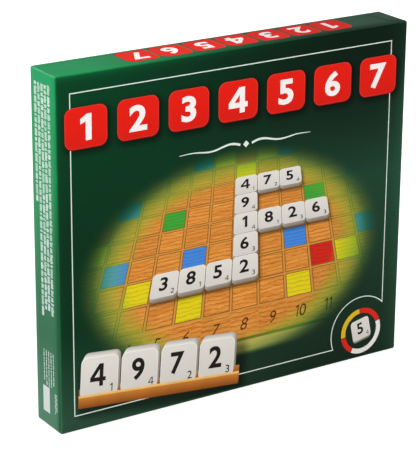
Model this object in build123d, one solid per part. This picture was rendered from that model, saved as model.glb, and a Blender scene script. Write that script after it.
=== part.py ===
"""A boxed word board game, standing on its long edge with the lid on.

The box is a two-part rigid box: a deep lid slides over a base, both made of greyboard under a glued
printed paper. Inside, a vacuum-formed plastic tray holds a board that folds in half, a rules leaflet,
four tile racks and 104 letter tiles in two layers. The tray is sized from what it holds, and the box
from the tray.

Frame: X to the right along the box's width, Y from the lid's front to the base's back, Z up.
The origin is the middle of the box's underside. Millimetres.
"""

import math
import os

from build123d import *

os.makedirs("parts", exist_ok=True)

# Board and paper of the box
wrap_paper = 0.25
lid_board = 1.5
base_board = 1.5
edge_radius = 1.4
lid_side_gap = 0.4
lid_front_gap = 0.3
lid_rim_step = 1.0

# Vacuum-formed tray
sheet_gauge = 0.8
tray_side_gap = 0.3
tray_back_gap = 0.3
deck_below_rim = 0.25
deck_side_margin = 2.8
deck_top_margin = 6.3
deck_middle_land = 15.4
deck_bottom_margin = 22.0
room_behind_wells = 8.35
well_draft = 3.0
tray_corner = 3.0
seat_gap = 0.3

# Board that folds in half, and its recess
board_size = 284.0
board_core = 1.8
board_sheet = 0.2
fold_gap = 0.1
board_front_room = 0.1
recess_side_gap = 1.0
recess_corner = 1.5

# Rules leaflet, folded to three leaves
leaflet_width = 148.0
leaflet_height = 105.0
leaf_thickness = 0.2
leaf_gap = 0.1
leaf_count = 3

# Letter tiles and their well
tile_size = 16.4
tile_thickness = 4.4
tile_corner = 2.2
tile_gap = 0.3
tile_layer_gap = 0.1
tile_columns = 13
tile_rows = 4
tile_layers = 2
tile_well_gap = 1.2
tile_front_room = 0.5
tile_well_corner = 4.0
notch_radius = 13.0
notch_flat = 1.3

# Tile racks and their wells
tiles_on_a_rack = 7
rack_tile_play = 0.2
rack_wall = 2.0
rack_width = 21.0
rack_height = 15.0
rack_lip = 3.6
rack_lip_wall = 1.8
rack_groove = 5.2
rack_lean = 5.0
rack_root = 2.3
rack_ribs = 2
rack_columns = 2
rack_rows = 2
rack_well_gap = 0.7
rack_well_corner = 1.2
rack_well_land = 4.0
rack_column_gap = 22.0
rack_row_gap = 28.0
finger_reach = 8.0
finger_well_margin = 5.0
finger_well_depth = 10.0
finger_well_corner = 8.0

# Sizes of what the tray holds
draft_slope = math.tan(math.radians(well_draft))
leaflet_thickness = leaf_count * leaf_thickness + (leaf_count - 1) * leaf_gap
panel_thickness = board_core + 2 * board_sheet
panel_height = board_size / 2
tile_pitch = tile_size + tile_gap
tile_layer_pitch = tile_thickness + tile_layer_gap
tile_block_width = tile_columns * tile_pitch - tile_gap
tile_block_height = tile_rows * tile_pitch - tile_gap
tile_block_depth = tile_layers * tile_layer_pitch - tile_layer_gap
rack_length = tiles_on_a_rack * (tile_size + rack_tile_play) + 2 * rack_wall

# Sizes of the wells
tile_well_width = tile_block_width + 2 * tile_well_gap
tile_well_height = tile_block_height + 2 * tile_well_gap
tile_well_depth = tile_block_depth + seat_gap + tile_front_room
rack_well_depth = rack_height + 2 * seat_gap
rack_well_room = rack_well_gap + rack_well_depth * draft_slope
rack_well_length = rack_length + 2 * rack_well_room
rack_well_width = rack_width + 2 * rack_well_room
rack_column_pitch = rack_well_length + rack_column_gap
rack_row_pitch = rack_well_width + rack_row_gap
rack_wells_width = rack_columns * rack_column_pitch - rack_column_gap
rack_wells_height = rack_rows * rack_row_pitch - rack_row_gap
recess_depth = 2 * seat_gap + leaflet_thickness + 2 * panel_thickness + board_front_room
recess_width = max(board_size + 2 * recess_side_gap, rack_wells_width + 2 * rack_well_land)
recess_height = max(panel_height + 2 * recess_side_gap, rack_wells_height + 2 * rack_well_land)
finger_well_width = rack_column_gap + 2 * finger_reach
finger_well_height = rack_wells_height + 2 * finger_well_margin

# Size of the tray, from its wells
tray_x = max(recess_width, tile_well_width + 2 * notch_radius) / 2 + deck_side_margin
tray_height = (
    deck_bottom_margin + tile_well_height + deck_middle_land + recess_height + deck_top_margin
)
deepest_well = max(recess_depth + rack_well_depth, tile_well_depth)
tray_depth = deepest_well + sheet_gauge + room_behind_wells

# The base, from the tray
base_inner_x = tray_x + tray_side_gap
base_core_x = base_inner_x + base_board
base_outer_x = base_core_x + wrap_paper

# The lid, from the base
lid_inner_x = base_outer_x + lid_side_gap
lid_core_x = lid_inner_x + lid_board
lid_outer_x = lid_core_x + wrap_paper

# Heights, from the table up
lid_core_low = wrap_paper
lid_inner_low = lid_core_low + lid_board
base_outer_low = lid_inner_low + lid_side_gap
base_core_low = base_outer_low + wrap_paper
base_inner_low = base_core_low + base_board
tray_low = base_inner_low + tray_side_gap
tray_high = tray_low + tray_height
base_inner_high = tray_high + tray_side_gap
base_core_high = base_inner_high + base_board
base_outer_high = base_core_high + wrap_paper
lid_inner_high = base_outer_high + lid_side_gap
lid_core_high = lid_inner_high + lid_board
box_height = lid_core_high + wrap_paper

# Depths, from the lid's front back
front_build_up = wrap_paper + lid_board + lid_front_gap + deck_below_rim
back_build_up = tray_back_gap + base_board + wrap_paper
box_depth = front_build_up + tray_depth + back_build_up
lid_front_y = -box_depth / 2
back_y = box_depth / 2
lid_core_front = lid_front_y + wrap_paper
lid_inner_front = lid_core_front + lid_board
lid_rim_y = back_y - lid_rim_step
base_rim_y = lid_inner_front + lid_front_gap
base_core_back = back_y - wrap_paper
base_inner_back = base_core_back - base_board
deck_y = base_rim_y + deck_below_rim
tray_back = base_inner_back - tray_back_gap

# Board and leaflet in the recess at the top of the tray
recess_floor_y = deck_y + recess_depth
recess_high = tray_high - deck_top_margin
recess_low = recess_high - recess_height
recess_z = (recess_low + recess_high) / 2
recess_floor_low = recess_low + recess_depth * draft_slope
leaflet_front = recess_floor_y - seat_gap - leaflet_thickness
board_back = leaflet_front - seat_gap
fold_y = board_back - panel_thickness
board_low = recess_floor_low + seat_gap
fold_z = board_low + panel_height

# Tiles in the well at the bottom of the tray
tile_well_low = tray_low + deck_bottom_margin
tile_well_z = tile_well_low + tile_well_height / 2
tile_floor_y = deck_y + tile_well_depth
tile_back = tile_floor_y - seat_gap
tile_low = tile_well_low + tile_well_depth * draft_slope + seat_gap

# Racks in their wells, in the floor of the recess
rack_back = recess_floor_y + rack_well_depth - seat_gap
rack_drop = rack_well_gap - seat_gap


def block(x0, x1, y0, y1, z0, z1):
    """A plain box between two corners, given in any order."""
    middle = Pos((x0 + x1) / 2, (y0 + y1) / 2, (z0 + z1) / 2)
    return middle * Box(abs(x1 - x0), abs(y1 - y0), abs(z1 - z0))


def edges_at(shape, near=0.01, **places):
    """The edges of a shape whose middles lie at the given coordinates, such as X=0, Z=10."""
    return [
        edge
        for edge in shape.edges()
        if all(abs(getattr(edge.center(), axis) - place) < near for axis, place in places.items())
    ]


def box_boards(name, core_x, inner_x, heights, depths):
    """The panel and four walls of one half of the box, each a board of its own.

    heights are the boards' low outside, low inside, high inside and high outside; depths are the
    panel's outer face, its inner face and the walls' free edge."""
    low, inner_low, inner_high, high = heights
    panel_y, panel_inner_y, rim_y = depths
    panel = block(-core_x, core_x, panel_y, panel_inner_y, low, high)
    corners = [
        e for x in (-core_x, core_x) for z in (low, high) for e in edges_at(panel, X=x, Z=z)
    ]
    panel = fillet(edges_at(panel, Y=panel_y) + corners, edge_radius)
    boards = {"panel": panel}
    for wall, inside, outside in (("top", inner_high, high), ("bottom", inner_low, low)):
        board = block(-core_x, core_x, panel_inner_y, rim_y, inside, outside)
        corners = [e for x in (-core_x, core_x) for e in edges_at(board, X=x, Z=outside)]
        boards[f"{wall}_wall"] = fillet(corners, edge_radius)
    for wall, side in (("left", -1), ("right", 1)):
        boards[f"{wall}_wall"] = block(
            side * inner_x, side * core_x, panel_inner_y, rim_y, inner_low, inner_high
        )
    return {f"{name}_{piece}": board for piece, board in boards.items()}


def box_wrap(outer_x, low, high, panel_y, core_y, rim_y):
    """The glued paper over one half of the box: a sheet on the panel and a flap on each wall."""
    sheets = [block(-outer_x, outer_x, panel_y, core_y, low, high)]
    for inside, outside in ((high - wrap_paper, high), (low, low + wrap_paper)):
        sheets.append(block(-outer_x, outer_x, core_y, rim_y, inside, outside))
    for side in (-1, 1):
        edge = (side * outer_x, side * (outer_x - wrap_paper))
        sheets.append(block(*edge, core_y, rim_y, low + wrap_paper, high - wrap_paper))
    return Compound(children=sheets)


def rack_place(column, row):
    """Middle of a rack's well in X and Z; row 0 is the top one."""
    x = (column - (rack_columns - 1) / 2) * rack_column_pitch
    z = recess_z + ((rack_rows - 1) / 2 - row) * rack_row_pitch
    return x, z


def pocket(middle, size, corner, front, depth, grow=0.0):
    """A rounded well that narrows with the draft; grow makes its outer skin."""
    x, z = middle
    width, height = size
    plane = Plane(origin=(x, front, z), x_dir=(1, 0, 0), z_dir=(0, 1, 0))
    outline = RectangleRounded(width + 2 * grow, height + 2 * grow, corner + grow)
    return extrude(plane * outline, amount=depth + grow, taper=well_draft)


def tray_wells():
    """Every well of the tray: its middle, size, corner radius, front and depth."""
    wells = [
        ((0, recess_z), (recess_width, recess_height), recess_corner, deck_y, recess_depth),
        (
            (0, tile_well_z),
            (tile_well_width, tile_well_height),
            tile_well_corner,
            deck_y,
            tile_well_depth,
        ),
        (
            (0, recess_z),
            (finger_well_width, finger_well_height),
            finger_well_corner,
            recess_floor_y,
            finger_well_depth,
        ),
    ]
    for column in range(rack_columns):
        for row in range(rack_rows):
            size = (rack_well_length, rack_well_width)
            place = rack_place(column, row)
            wells.append((place, size, rack_well_corner, recess_floor_y, rack_well_depth))
    notch = 2 * notch_radius + notch_flat
    for side in (-1, 1):
        middle = (side * tile_well_width / 2, tile_well_z)
        wells.append((middle, (notch, notch), notch_radius, deck_y, tile_well_depth))
    return wells


def insert_tray():
    """The vacuum-formed tray: a deck with a skirt, a stepped recess and wells, all of one gauge."""
    plane = Plane(
        origin=(0, deck_y, (tray_low + tray_high) / 2), x_dir=(1, 0, 0), z_dir=(0, 1, 0)
    )
    width = 2 * tray_x
    outside = RectangleRounded(width, tray_height, tray_corner)
    inside = RectangleRounded(
        width - 2 * sheet_gauge, tray_height - 2 * sheet_gauge, tray_corner - sheet_gauge
    )
    tray = extrude(plane * outside, amount=tray_depth)
    tray -= extrude(plane.offset(sheet_gauge) * inside, amount=tray_depth)
    for well in tray_wells():
        tray += pocket(*well, grow=sheet_gauge)
    for well in tray_wells():
        tray -= pocket(*well)
    return tray


def rack(x, z):
    """A moulded rack, lying with its foot at the back of its well and its groove to the front.

    Its section has a foot, a lip in front of the groove and a leaning back; end plates and ribs
    brace the back, and a low stop closes each end of the groove."""
    low = z - rack_width / 2
    foot = rack_back - rack_wall
    front = rack_back - rack_height
    lip = foot - rack_lip
    groove_end = low + rack_wall + rack_groove
    end = rack_length / 2
    section = [
        (rack_back, low),
        (lip, low),
        (lip, low + rack_lip_wall),
        (foot, low + rack_wall),
        (foot, groove_end),
        (front, groove_end + rack_lean),
        (front, groove_end + rack_lean + rack_wall),
        (foot, groove_end + rack_root),
        (foot, low + rack_width),
        (rack_back, low + rack_width),
    ]
    brace = [
        (foot, groove_end),
        (front, groove_end + rack_lean),
        (front, groove_end + rack_lean + rack_wall),
        (foot, low + rack_width - rack_wall),
    ]
    lean_at_lip = rack_lean * rack_lip / (rack_height - rack_wall)
    stop = [(foot, low), (lip, low), (lip, groove_end + lean_at_lip), (foot, groove_end)]

    ends = [x - end, x + end - rack_wall]
    bay = rack_length / (rack_ribs + 1)
    ribs = [x - end + (rib + 1) * bay - rack_wall / 2 for rib in range(rack_ribs)]
    plates = [(brace, station) for station in ends + ribs]
    plates += [(stop, station) for station in ends]

    body = extrude(Plane.YZ.offset(x - end) * make_face(Polyline(*section, close=True)), rack_length)
    for outline, station in plates:
        body += extrude(
            Plane.YZ.offset(station) * make_face(Polyline(*outline, close=True)), rack_wall
        )
    return body


def tile_row(layer, row):
    """Thirteen letter tiles side by side, each a square block with rounded corners.

    Layer 0 is the front one, and row 0 the top one."""
    back = tile_back - (tile_layers - 1 - layer) * tile_layer_pitch
    z = tile_low + tile_size / 2 + (tile_rows - 1 - row) * tile_pitch
    first = -(tile_columns - 1) / 2 * tile_pitch
    outline = RectangleRounded(tile_size, tile_size, tile_corner)
    tiles = []
    for column in range(tile_columns):
        plane = Plane(
            origin=(first + column * tile_pitch, back, z), x_dir=(1, 0, 0), z_dir=(0, -1, 0)
        )
        tiles.append(extrude(plane * outline, amount=tile_thickness))
    return Compound(children=tiles)


def board_half(name, outward):
    """One half of the folded board: a greyboard core between its printed face and its lining.

    outward is 1 for the rear half and -1 for the front half, whose printed faces meet."""
    x = board_size / 2
    made = {}
    start = fold_y
    for layer, thickness in (("face", board_sheet), ("core", board_core), ("lining", board_sheet)):
        end = start + outward * thickness
        made[f"{name}_{layer}"] = block(-x, x, start, end, board_low, fold_z - fold_gap)
        start = end
    return made


def rules_leaflet():
    """The rules leaflet: one sheet folded like a Z, its leaves a hair apart and joined at the folds."""
    x = leaflet_width / 2
    high = board_low + leaflet_height
    step = leaf_thickness + leaf_gap
    sheet = block(-x, x, leaflet_front, leaflet_front + leaf_thickness, board_low, high)
    for fold in range(leaf_count - 1):
        front = leaflet_front + fold * step
        back = front + step + leaf_thickness
        side = 1 if fold % 2 else -1
        sheet += block(side * x, side * (x - leaf_thickness), front, back, board_low, high)
        sheet += block(-x, x, back - leaf_thickness, back, board_low, high)
    return sheet


parts = {}
parts |= box_boards(
    "lid",
    lid_core_x,
    lid_inner_x,
    (lid_core_low, lid_inner_low, lid_inner_high, lid_core_high),
    (lid_core_front, lid_inner_front, lid_rim_y),
)
parts["lid_wrap"] = box_wrap(lid_outer_x, 0, box_height, lid_front_y, lid_core_front, lid_rim_y)
parts |= box_boards(
    "base",
    base_core_x,
    base_inner_x,
    (base_core_low, base_inner_low, base_inner_high, base_core_high),
    (base_core_back, base_inner_back, base_rim_y),
)
parts["base_wrap"] = box_wrap(
    base_outer_x, base_outer_low, base_outer_high, back_y, base_core_back, base_rim_y
)
parts["insert_tray"] = insert_tray()
parts |= board_half("board_rear", 1)
parts |= board_half("board_front", -1)
parts["rules_leaflet"] = rules_leaflet()
for column in range(rack_columns):
    for row in range(rack_rows):
        x, z = rack_place(column, row)
        parts[f"rack_{column * rack_rows + row + 1}"] = rack(x, z - rack_drop)
for layer, side in enumerate(("front", "rear")):
    for row in range(tile_rows):
        parts[f"tiles_{side}_row_{row + 1}"] = tile_row(layer, row)

for name, shape in parts.items():
    export_step(shape, f"parts/{name}.step")

places = {
    "box": (2 * lid_outer_x, box_depth, box_height),
    "board's fold line, y and z": (fold_y, fold_z),
    "finger well, front and floor": (recess_floor_y, recess_floor_y + finger_well_depth),
    "tile well, floor and middle": (tile_floor_y, tile_well_z),
    "first rack, x and z": rack_place(0, 0),
    "rack, front and back": (rack_back - rack_height, rack_back),
}
for label, place in places.items():
    print(label, [round(value, 3) for value in place])
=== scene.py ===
"""Looks of a boxed word board game that stands on its long edge with the lid on.

The box is greyboard under laminated printed paper. The print is a generic design: a row of red
numbered tiles, a wooden board with coloured cells in an oval of light, pale numbered tiles on it
and a rack of four more. Under the lid lie a folding board, a leaflet, racks and tiles in a formed
tray.

Metres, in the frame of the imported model: X along the width, the front print faces -Y, Z up.
"""

import math
from contextlib import contextmanager

import bmesh
import bpy
import numpy as np
from mathutils import Matrix, Vector


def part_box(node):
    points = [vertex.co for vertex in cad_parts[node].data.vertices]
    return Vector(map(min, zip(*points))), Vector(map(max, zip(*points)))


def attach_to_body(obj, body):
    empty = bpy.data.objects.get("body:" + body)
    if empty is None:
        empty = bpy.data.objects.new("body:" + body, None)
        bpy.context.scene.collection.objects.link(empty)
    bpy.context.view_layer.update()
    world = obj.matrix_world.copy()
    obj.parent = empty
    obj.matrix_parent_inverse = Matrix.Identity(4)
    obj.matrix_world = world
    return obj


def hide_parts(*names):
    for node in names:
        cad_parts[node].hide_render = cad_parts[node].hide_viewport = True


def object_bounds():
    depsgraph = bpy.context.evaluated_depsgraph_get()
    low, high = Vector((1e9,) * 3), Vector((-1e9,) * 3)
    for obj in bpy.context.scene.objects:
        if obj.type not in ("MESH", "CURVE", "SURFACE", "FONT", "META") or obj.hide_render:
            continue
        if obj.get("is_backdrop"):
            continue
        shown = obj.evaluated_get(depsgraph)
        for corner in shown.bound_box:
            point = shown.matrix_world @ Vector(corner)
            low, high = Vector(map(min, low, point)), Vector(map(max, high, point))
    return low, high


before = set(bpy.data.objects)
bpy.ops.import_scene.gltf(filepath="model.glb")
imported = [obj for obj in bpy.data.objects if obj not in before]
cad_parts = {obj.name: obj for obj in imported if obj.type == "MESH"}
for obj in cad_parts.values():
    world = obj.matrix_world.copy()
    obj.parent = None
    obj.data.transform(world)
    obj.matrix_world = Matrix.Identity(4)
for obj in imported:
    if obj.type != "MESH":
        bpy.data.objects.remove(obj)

bl_info = {
    "name": "Word board game looks",
    "version": (1, 0, 0),
    "blender": (4, 5, 0),
    "location": "3D View > Sidebar > Board game",
    "description": "Printed box, folding board, racks and tiles of a word board game",
    "category": "Object",
}

MM = 0.001

# The box's own places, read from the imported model
LID_LOW, LID_HIGH = np.array(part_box("lid_wrap"))
BASE_LOW, BASE_HIGH = np.array(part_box("base_wrap"))
WIDTH, DEPTH, HEIGHT = LID_HIGH - LID_LOW
FRONT, RIM, BACK = LID_LOW[1], LID_HIGH[1], BASE_HIGH[1]
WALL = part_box("lid_left_wall")[1][0] - LID_LOW[0]

# The paper round the boards, and how far its wear reaches from a fold
PAPER = 0.2 * MM
FOLD_RADIUS = 1.65 * MM
WEAR = 0.9 * MM
EDGE = 1.2 * MM

# The playing board: two halves folded face to face, of fifteen rows of fifteen cells in all
BOARD_LOW, BOARD_HIGH = np.array(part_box("board_rear_face"))
FACE, FOLD = BOARD_LOW[1], BOARD_HIGH[2]
CELLS = 15
BORDER = 10 * MM
CELL = (BOARD_HIGH[0] - BOARD_LOW[0] - 2 * BORDER) / CELLS

# Points closer than this are made one
MERGE = 0.001 * MM

# The step between layers of printed ink and an ink's own thickness, and the hollow of a tile's face
INK_STEP = 0.012 * MM
INK_THICKNESS = 0.6 * INK_STEP
DISH = 0.08 * MM

# Numpy helpers


def to_linear(values):
    """Turns sRGB values from 0 to 1 to linear ones."""
    values = np.clip(np.asarray(values, float), 0, 1)
    return np.where(values <= 0.04045, values / 12.92, ((values + 0.055) / 1.055) ** 2.4)


def to_srgb(values):
    """A linear colour back as sRGB, for ink that numpy mixes."""
    values = np.asarray(values)
    return np.where(values <= 0.0031308, values * 12.92, 1.055 * values ** (1 / 2.4) - 0.055)


def srgb(text):
    """A hex colour as three sRGB values from 0 to 1."""
    return np.array([int(text[i : i + 2], 16) for i in (1, 3, 5)]) / 255


def linear(text):
    """A hex colour as a linear colour with alpha, for a shader's socket."""
    return (*to_linear(srgb(text)), 1.0)


def mix(a, b, share):
    """Blends two colours or arrays of colours by a share from 0 to 1, point by point."""
    share = np.asarray(share, float)[..., None]
    return np.asarray(a) * (1 - share) + np.asarray(b) * share


def smooth(low, high, values):
    """Rises from 0 at low to 1 at high along 3t^2 - 2t^3."""
    t = np.clip((np.asarray(values, float) - low) / (high - low), 0, 1)
    return t * t * (3 - 2 * t)


def stops(values, *places):
    """Colours at values, blended straight between places that each give a value and a hex ink."""
    at, inks = zip(*places)
    channels = np.array([srgb(ink) for ink in inks]).T
    return np.stack([np.interp(values, at, channel) for channel in channels], -1)


def circle(centre, radius, angles):
    """Points of a circle at the given angles."""
    return centre + radius * np.stack([np.cos(angles), np.sin(angles)], 1)


def rounded_outline(width, height, radius, steps=6, middle=(0, 0)):
    """Points round a rectangle with rounded corners, anticlockwise, a quarter circle at each corner."""
    turn = np.linspace(0, math.pi / 2, steps)
    points = []
    for corner, side in enumerate([(1, 1), (-1, 1), (-1, -1), (1, -1)]):
        centre = np.array(side) * np.array([width / 2 - radius, height / 2 - radius])
        points.append(circle(centre, radius, turn + corner * math.pi / 2))
    return np.concatenate(points) + middle


def ripple(x, z):
    """Slow uneven waves, the mean of four sines with unlike lengths and directions, from -1 to 1."""
    waves = [(31, 11, 0.3), (-17, 26, 1.9), (47, -38, 4.1), (9, 61, 2.2)]
    return sum(np.sin(a * x + b * z + c) for a, b, c in waves) / len(waves)


# Mesh helpers


def new_object(name, data):
    """A new object in the scene."""
    made = bpy.data.objects.new(name, data)
    bpy.context.scene.collection.objects.link(made)
    return made


def link(name, mesh, body, material, replaces=()):
    """Makes an object of a mesh, lets it ride on a body and hides the imported pieces that it stands for.
    """
    piece = new_object(name, mesh)
    mesh.materials.append(material)
    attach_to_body(piece, body)
    if replaces:
        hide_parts(*replaces)
    return piece


def store(mesh, name, values):
    """Keeps a number or a linear colour with each point of a mesh."""
    values = np.asarray(values, np.float32)
    if values.ndim == 1:
        mesh.attributes.new(name, "FLOAT", "POINT").data.foreach_set("value", values)
    else:
        rgba = np.pad(values, ((0, 0), (0, 1)), constant_values=1)
        mesh.color_attributes.new(name, "FLOAT_COLOR", "POINT").data.foreach_set("color", rgba.ravel())


def new_mesh(name, points, faces, colours=None, uv=None, shade=None):
    """A mesh from arrays, with an ink colour, a flat coordinate and a shade at each point if given."""
    mesh = bpy.data.meshes.new(name)
    mesh.from_pydata(np.asarray(points).tolist(), [], [list(map(int, face)) for face in faces])
    if colours is not None:
        store(mesh, "ink", to_linear(colours))
    if shade is not None:
        store(mesh, "shade", shade)
    if uv is not None:
        corners = np.zeros(len(mesh.loops), np.int32)
        mesh.loops.foreach_get("vertex_index", corners)
        layer = mesh.uv_layers.new(name="board")
        layer.data.foreach_set("uv", np.asarray(uv, np.float32)[corners].ravel())
    mesh.update()
    return mesh


def faces_of(*corners):
    """Faces from point numbers: for each corner an array, or one number that all faces share."""
    return np.stack(np.broadcast_arrays(*corners), 1).tolist()


def at_depth(x, z, y):
    """Points of x and z that all lie at one depth y."""
    return np.stack([x, np.full(len(x), y), z], 1)


def grid_faces(rows, columns):
    """Quads of a grid whose points run row by row."""
    row, column = np.meshgrid(np.arange(rows - 1), np.arange(columns - 1), indexing="ij")
    corner = (row * columns + column).ravel()
    return faces_of(corner, corner + 1, corner + columns + 1, corner + columns)


def solidify(piece, thickness):
    """Gives a sheet its thickness, inwards from the face that shows."""
    modifier = piece.modifiers.new("thickness", "SOLIDIFY")
    modifier.thickness = thickness
    modifier.offset = -1
    return piece


@contextmanager
def edited(mesh):
    """Opens a mesh for mesh operations, and puts the result back into it."""
    form = bmesh.new()
    form.from_mesh(mesh)
    yield form
    form.to_mesh(mesh)
    form.free()


def shade_smooth(piece, angle):
    """Smooth shading that keeps edges sharper than the angle."""
    piece.data.shade_smooth()
    piece.data.set_sharp_from_angle(angle=math.radians(angle))


# Plain numbers

GLYPHS = {}
DIGIT_GAP = 0.14


def flagged_one(bold):
    """Points and faces of the digit 1, 1 high: an upright stem and a flag that slopes down from its
    head, both wider with boldness. The plain letter's own 1 is a bare bar, like a letter."""
    half = 0.05 + 1.75 * bold
    drop = 1.7 * half
    flag = [(-half / 2, 0.5), (-half - 0.19, 0.33), (-half - 0.19, 0.31 - drop), (-half, 0.4 - drop)]
    points = np.array([(-half, -0.5), (half, -0.5), (half, 0.5), *flag])
    return points, [[0, 1, 2, 3, 6], [3, 4, 5, 6]]


def open_four(bold):
    """Points and faces of the digit 4, 1 high: a stem, a bar across it and a slope from the bar's left
    end to the stem's head, as faces side by side. The plain letter's own 4 closes up when it is bold."""
    half, bar, stem, left, right = 0.05 + 1.6 * bold, -0.19, 0.15, -0.38, 0.36
    low, high, near, far = bar - half, bar + half, stem - half, stem + half
    head = near - 0.02
    rise = (0.5 - high) / (head - left)
    foot = left + 1.8 * half * math.hypot(1, rise) / rise
    corner = high + (near - foot) * rise
    points = [(near, -0.5), (far, -0.5), (far, low), (near, low), (right, low), (right, high)]
    points += [(far, high), (near, high), (left, low), (foot, high), (left, high)]
    points += [(far, 0.5), (near, 0.5), (near, corner), (head, 0.5)]
    faces = [[0, 1, 2, 3], [2, 4, 5, 6], [3, 2, 6, 7], [8, 3, 7, 9, 10], [7, 6, 11, 12, 13]]
    return np.array(points), [*faces, [10, 9, 13, 12, 14]]


def plain_digit(text, bold):
    """Points and faces of a digit set in Blender's own plain letter, 1 high."""
    curve = bpy.data.curves.new("digit", "FONT")
    curve.body = text
    curve.offset = bold
    curve.resolution_u = 4
    holder = bpy.data.objects.new("digit", curve)
    mesh = bpy.data.meshes.new_from_object(holder)
    points = np.zeros(len(mesh.vertices) * 3)
    mesh.vertices.foreach_get("co", points)
    points = points.reshape(-1, 3)[:, :2]
    faces = [list(face.vertices) for face in mesh.polygons]
    bpy.data.objects.remove(holder)
    bpy.data.curves.remove(curve)
    bpy.data.meshes.remove(mesh)
    low, high = points.min(0), points.max(0)
    return (points - (low + high) / 2) / (high[1] - low[1]), faces


def glyph(text, bold):
    """Points and faces of a number, 1 high and centred: its digits side by side, a small gap apart."""
    if (text, bold) not in GLYPHS:
        points, faces, reach, count = [], [], 0.0, 0
        for digit in text:
            own_form = {"1": flagged_one, "4": open_four}.get(digit)
            shape, own_faces = own_form(bold) if own_form else plain_digit(digit, bold)
            shape = shape + (reach - shape[:, 0].min(), 0)
            reach = shape[:, 0].max() + DIGIT_GAP
            points.append(shape)
            faces += [[index + count for index in face] for face in own_faces]
            count += len(shape)
        points = np.concatenate(points)
        GLYPHS[(text, bold)] = (points - ((points[:, 0].min() + points[:, 0].max()) / 2, 0), faces)
    return GLYPHS[(text, bold)]


# Print


def on_plane(origin, across, up, out):
    """A flat surface that carries print. It gives the places of points (across, up) in metres that are
    lifted off the paper: the origin, plus each direction times its amount."""
    origin, across, up, out = (np.array(values, float) for values in (origin, across, up, out))
    return lambda points, lift: origin + points[:, :1] * across + points[:, 1:] * up + lift * out


def facing_front(y):
    """A surface at y that is seen from the front."""
    return on_plane((0, y, 0), (1, 0, 0), (0, 0, 1), (0, -1, 0))


# Across runs from the back edge to the front one on the left end, from the front edge to the back one
# on the right end, and from right to left on the top and the back, where the top is read from behind
ON_FRONT = facing_front(FRONT)
ON_LEFT = on_plane((LID_LOW[0], RIM, 0), (0, -1, 0), (0, 0, 1), (-1, 0, 0))
ON_RIGHT = on_plane((LID_HIGH[0], FRONT, 0), (0, 1, 0), (0, 0, 1), (1, 0, 0))
ON_TOP = on_plane((0, RIM, HEIGHT), (-1, 0, 0), (0, -1, 0), (0, 0, 1))
ON_BACK = on_plane((0, BACK, 0), (-1, 0, 0), (0, 0, 1), (0, 1, 0))
ON_REAR_HALF = facing_front(FACE)
ON_FRONT_HALF = on_plane((0, FACE, 2 * FOLD), (1, 0, 0), (0, 0, -1), (0, 1, 0))


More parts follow.
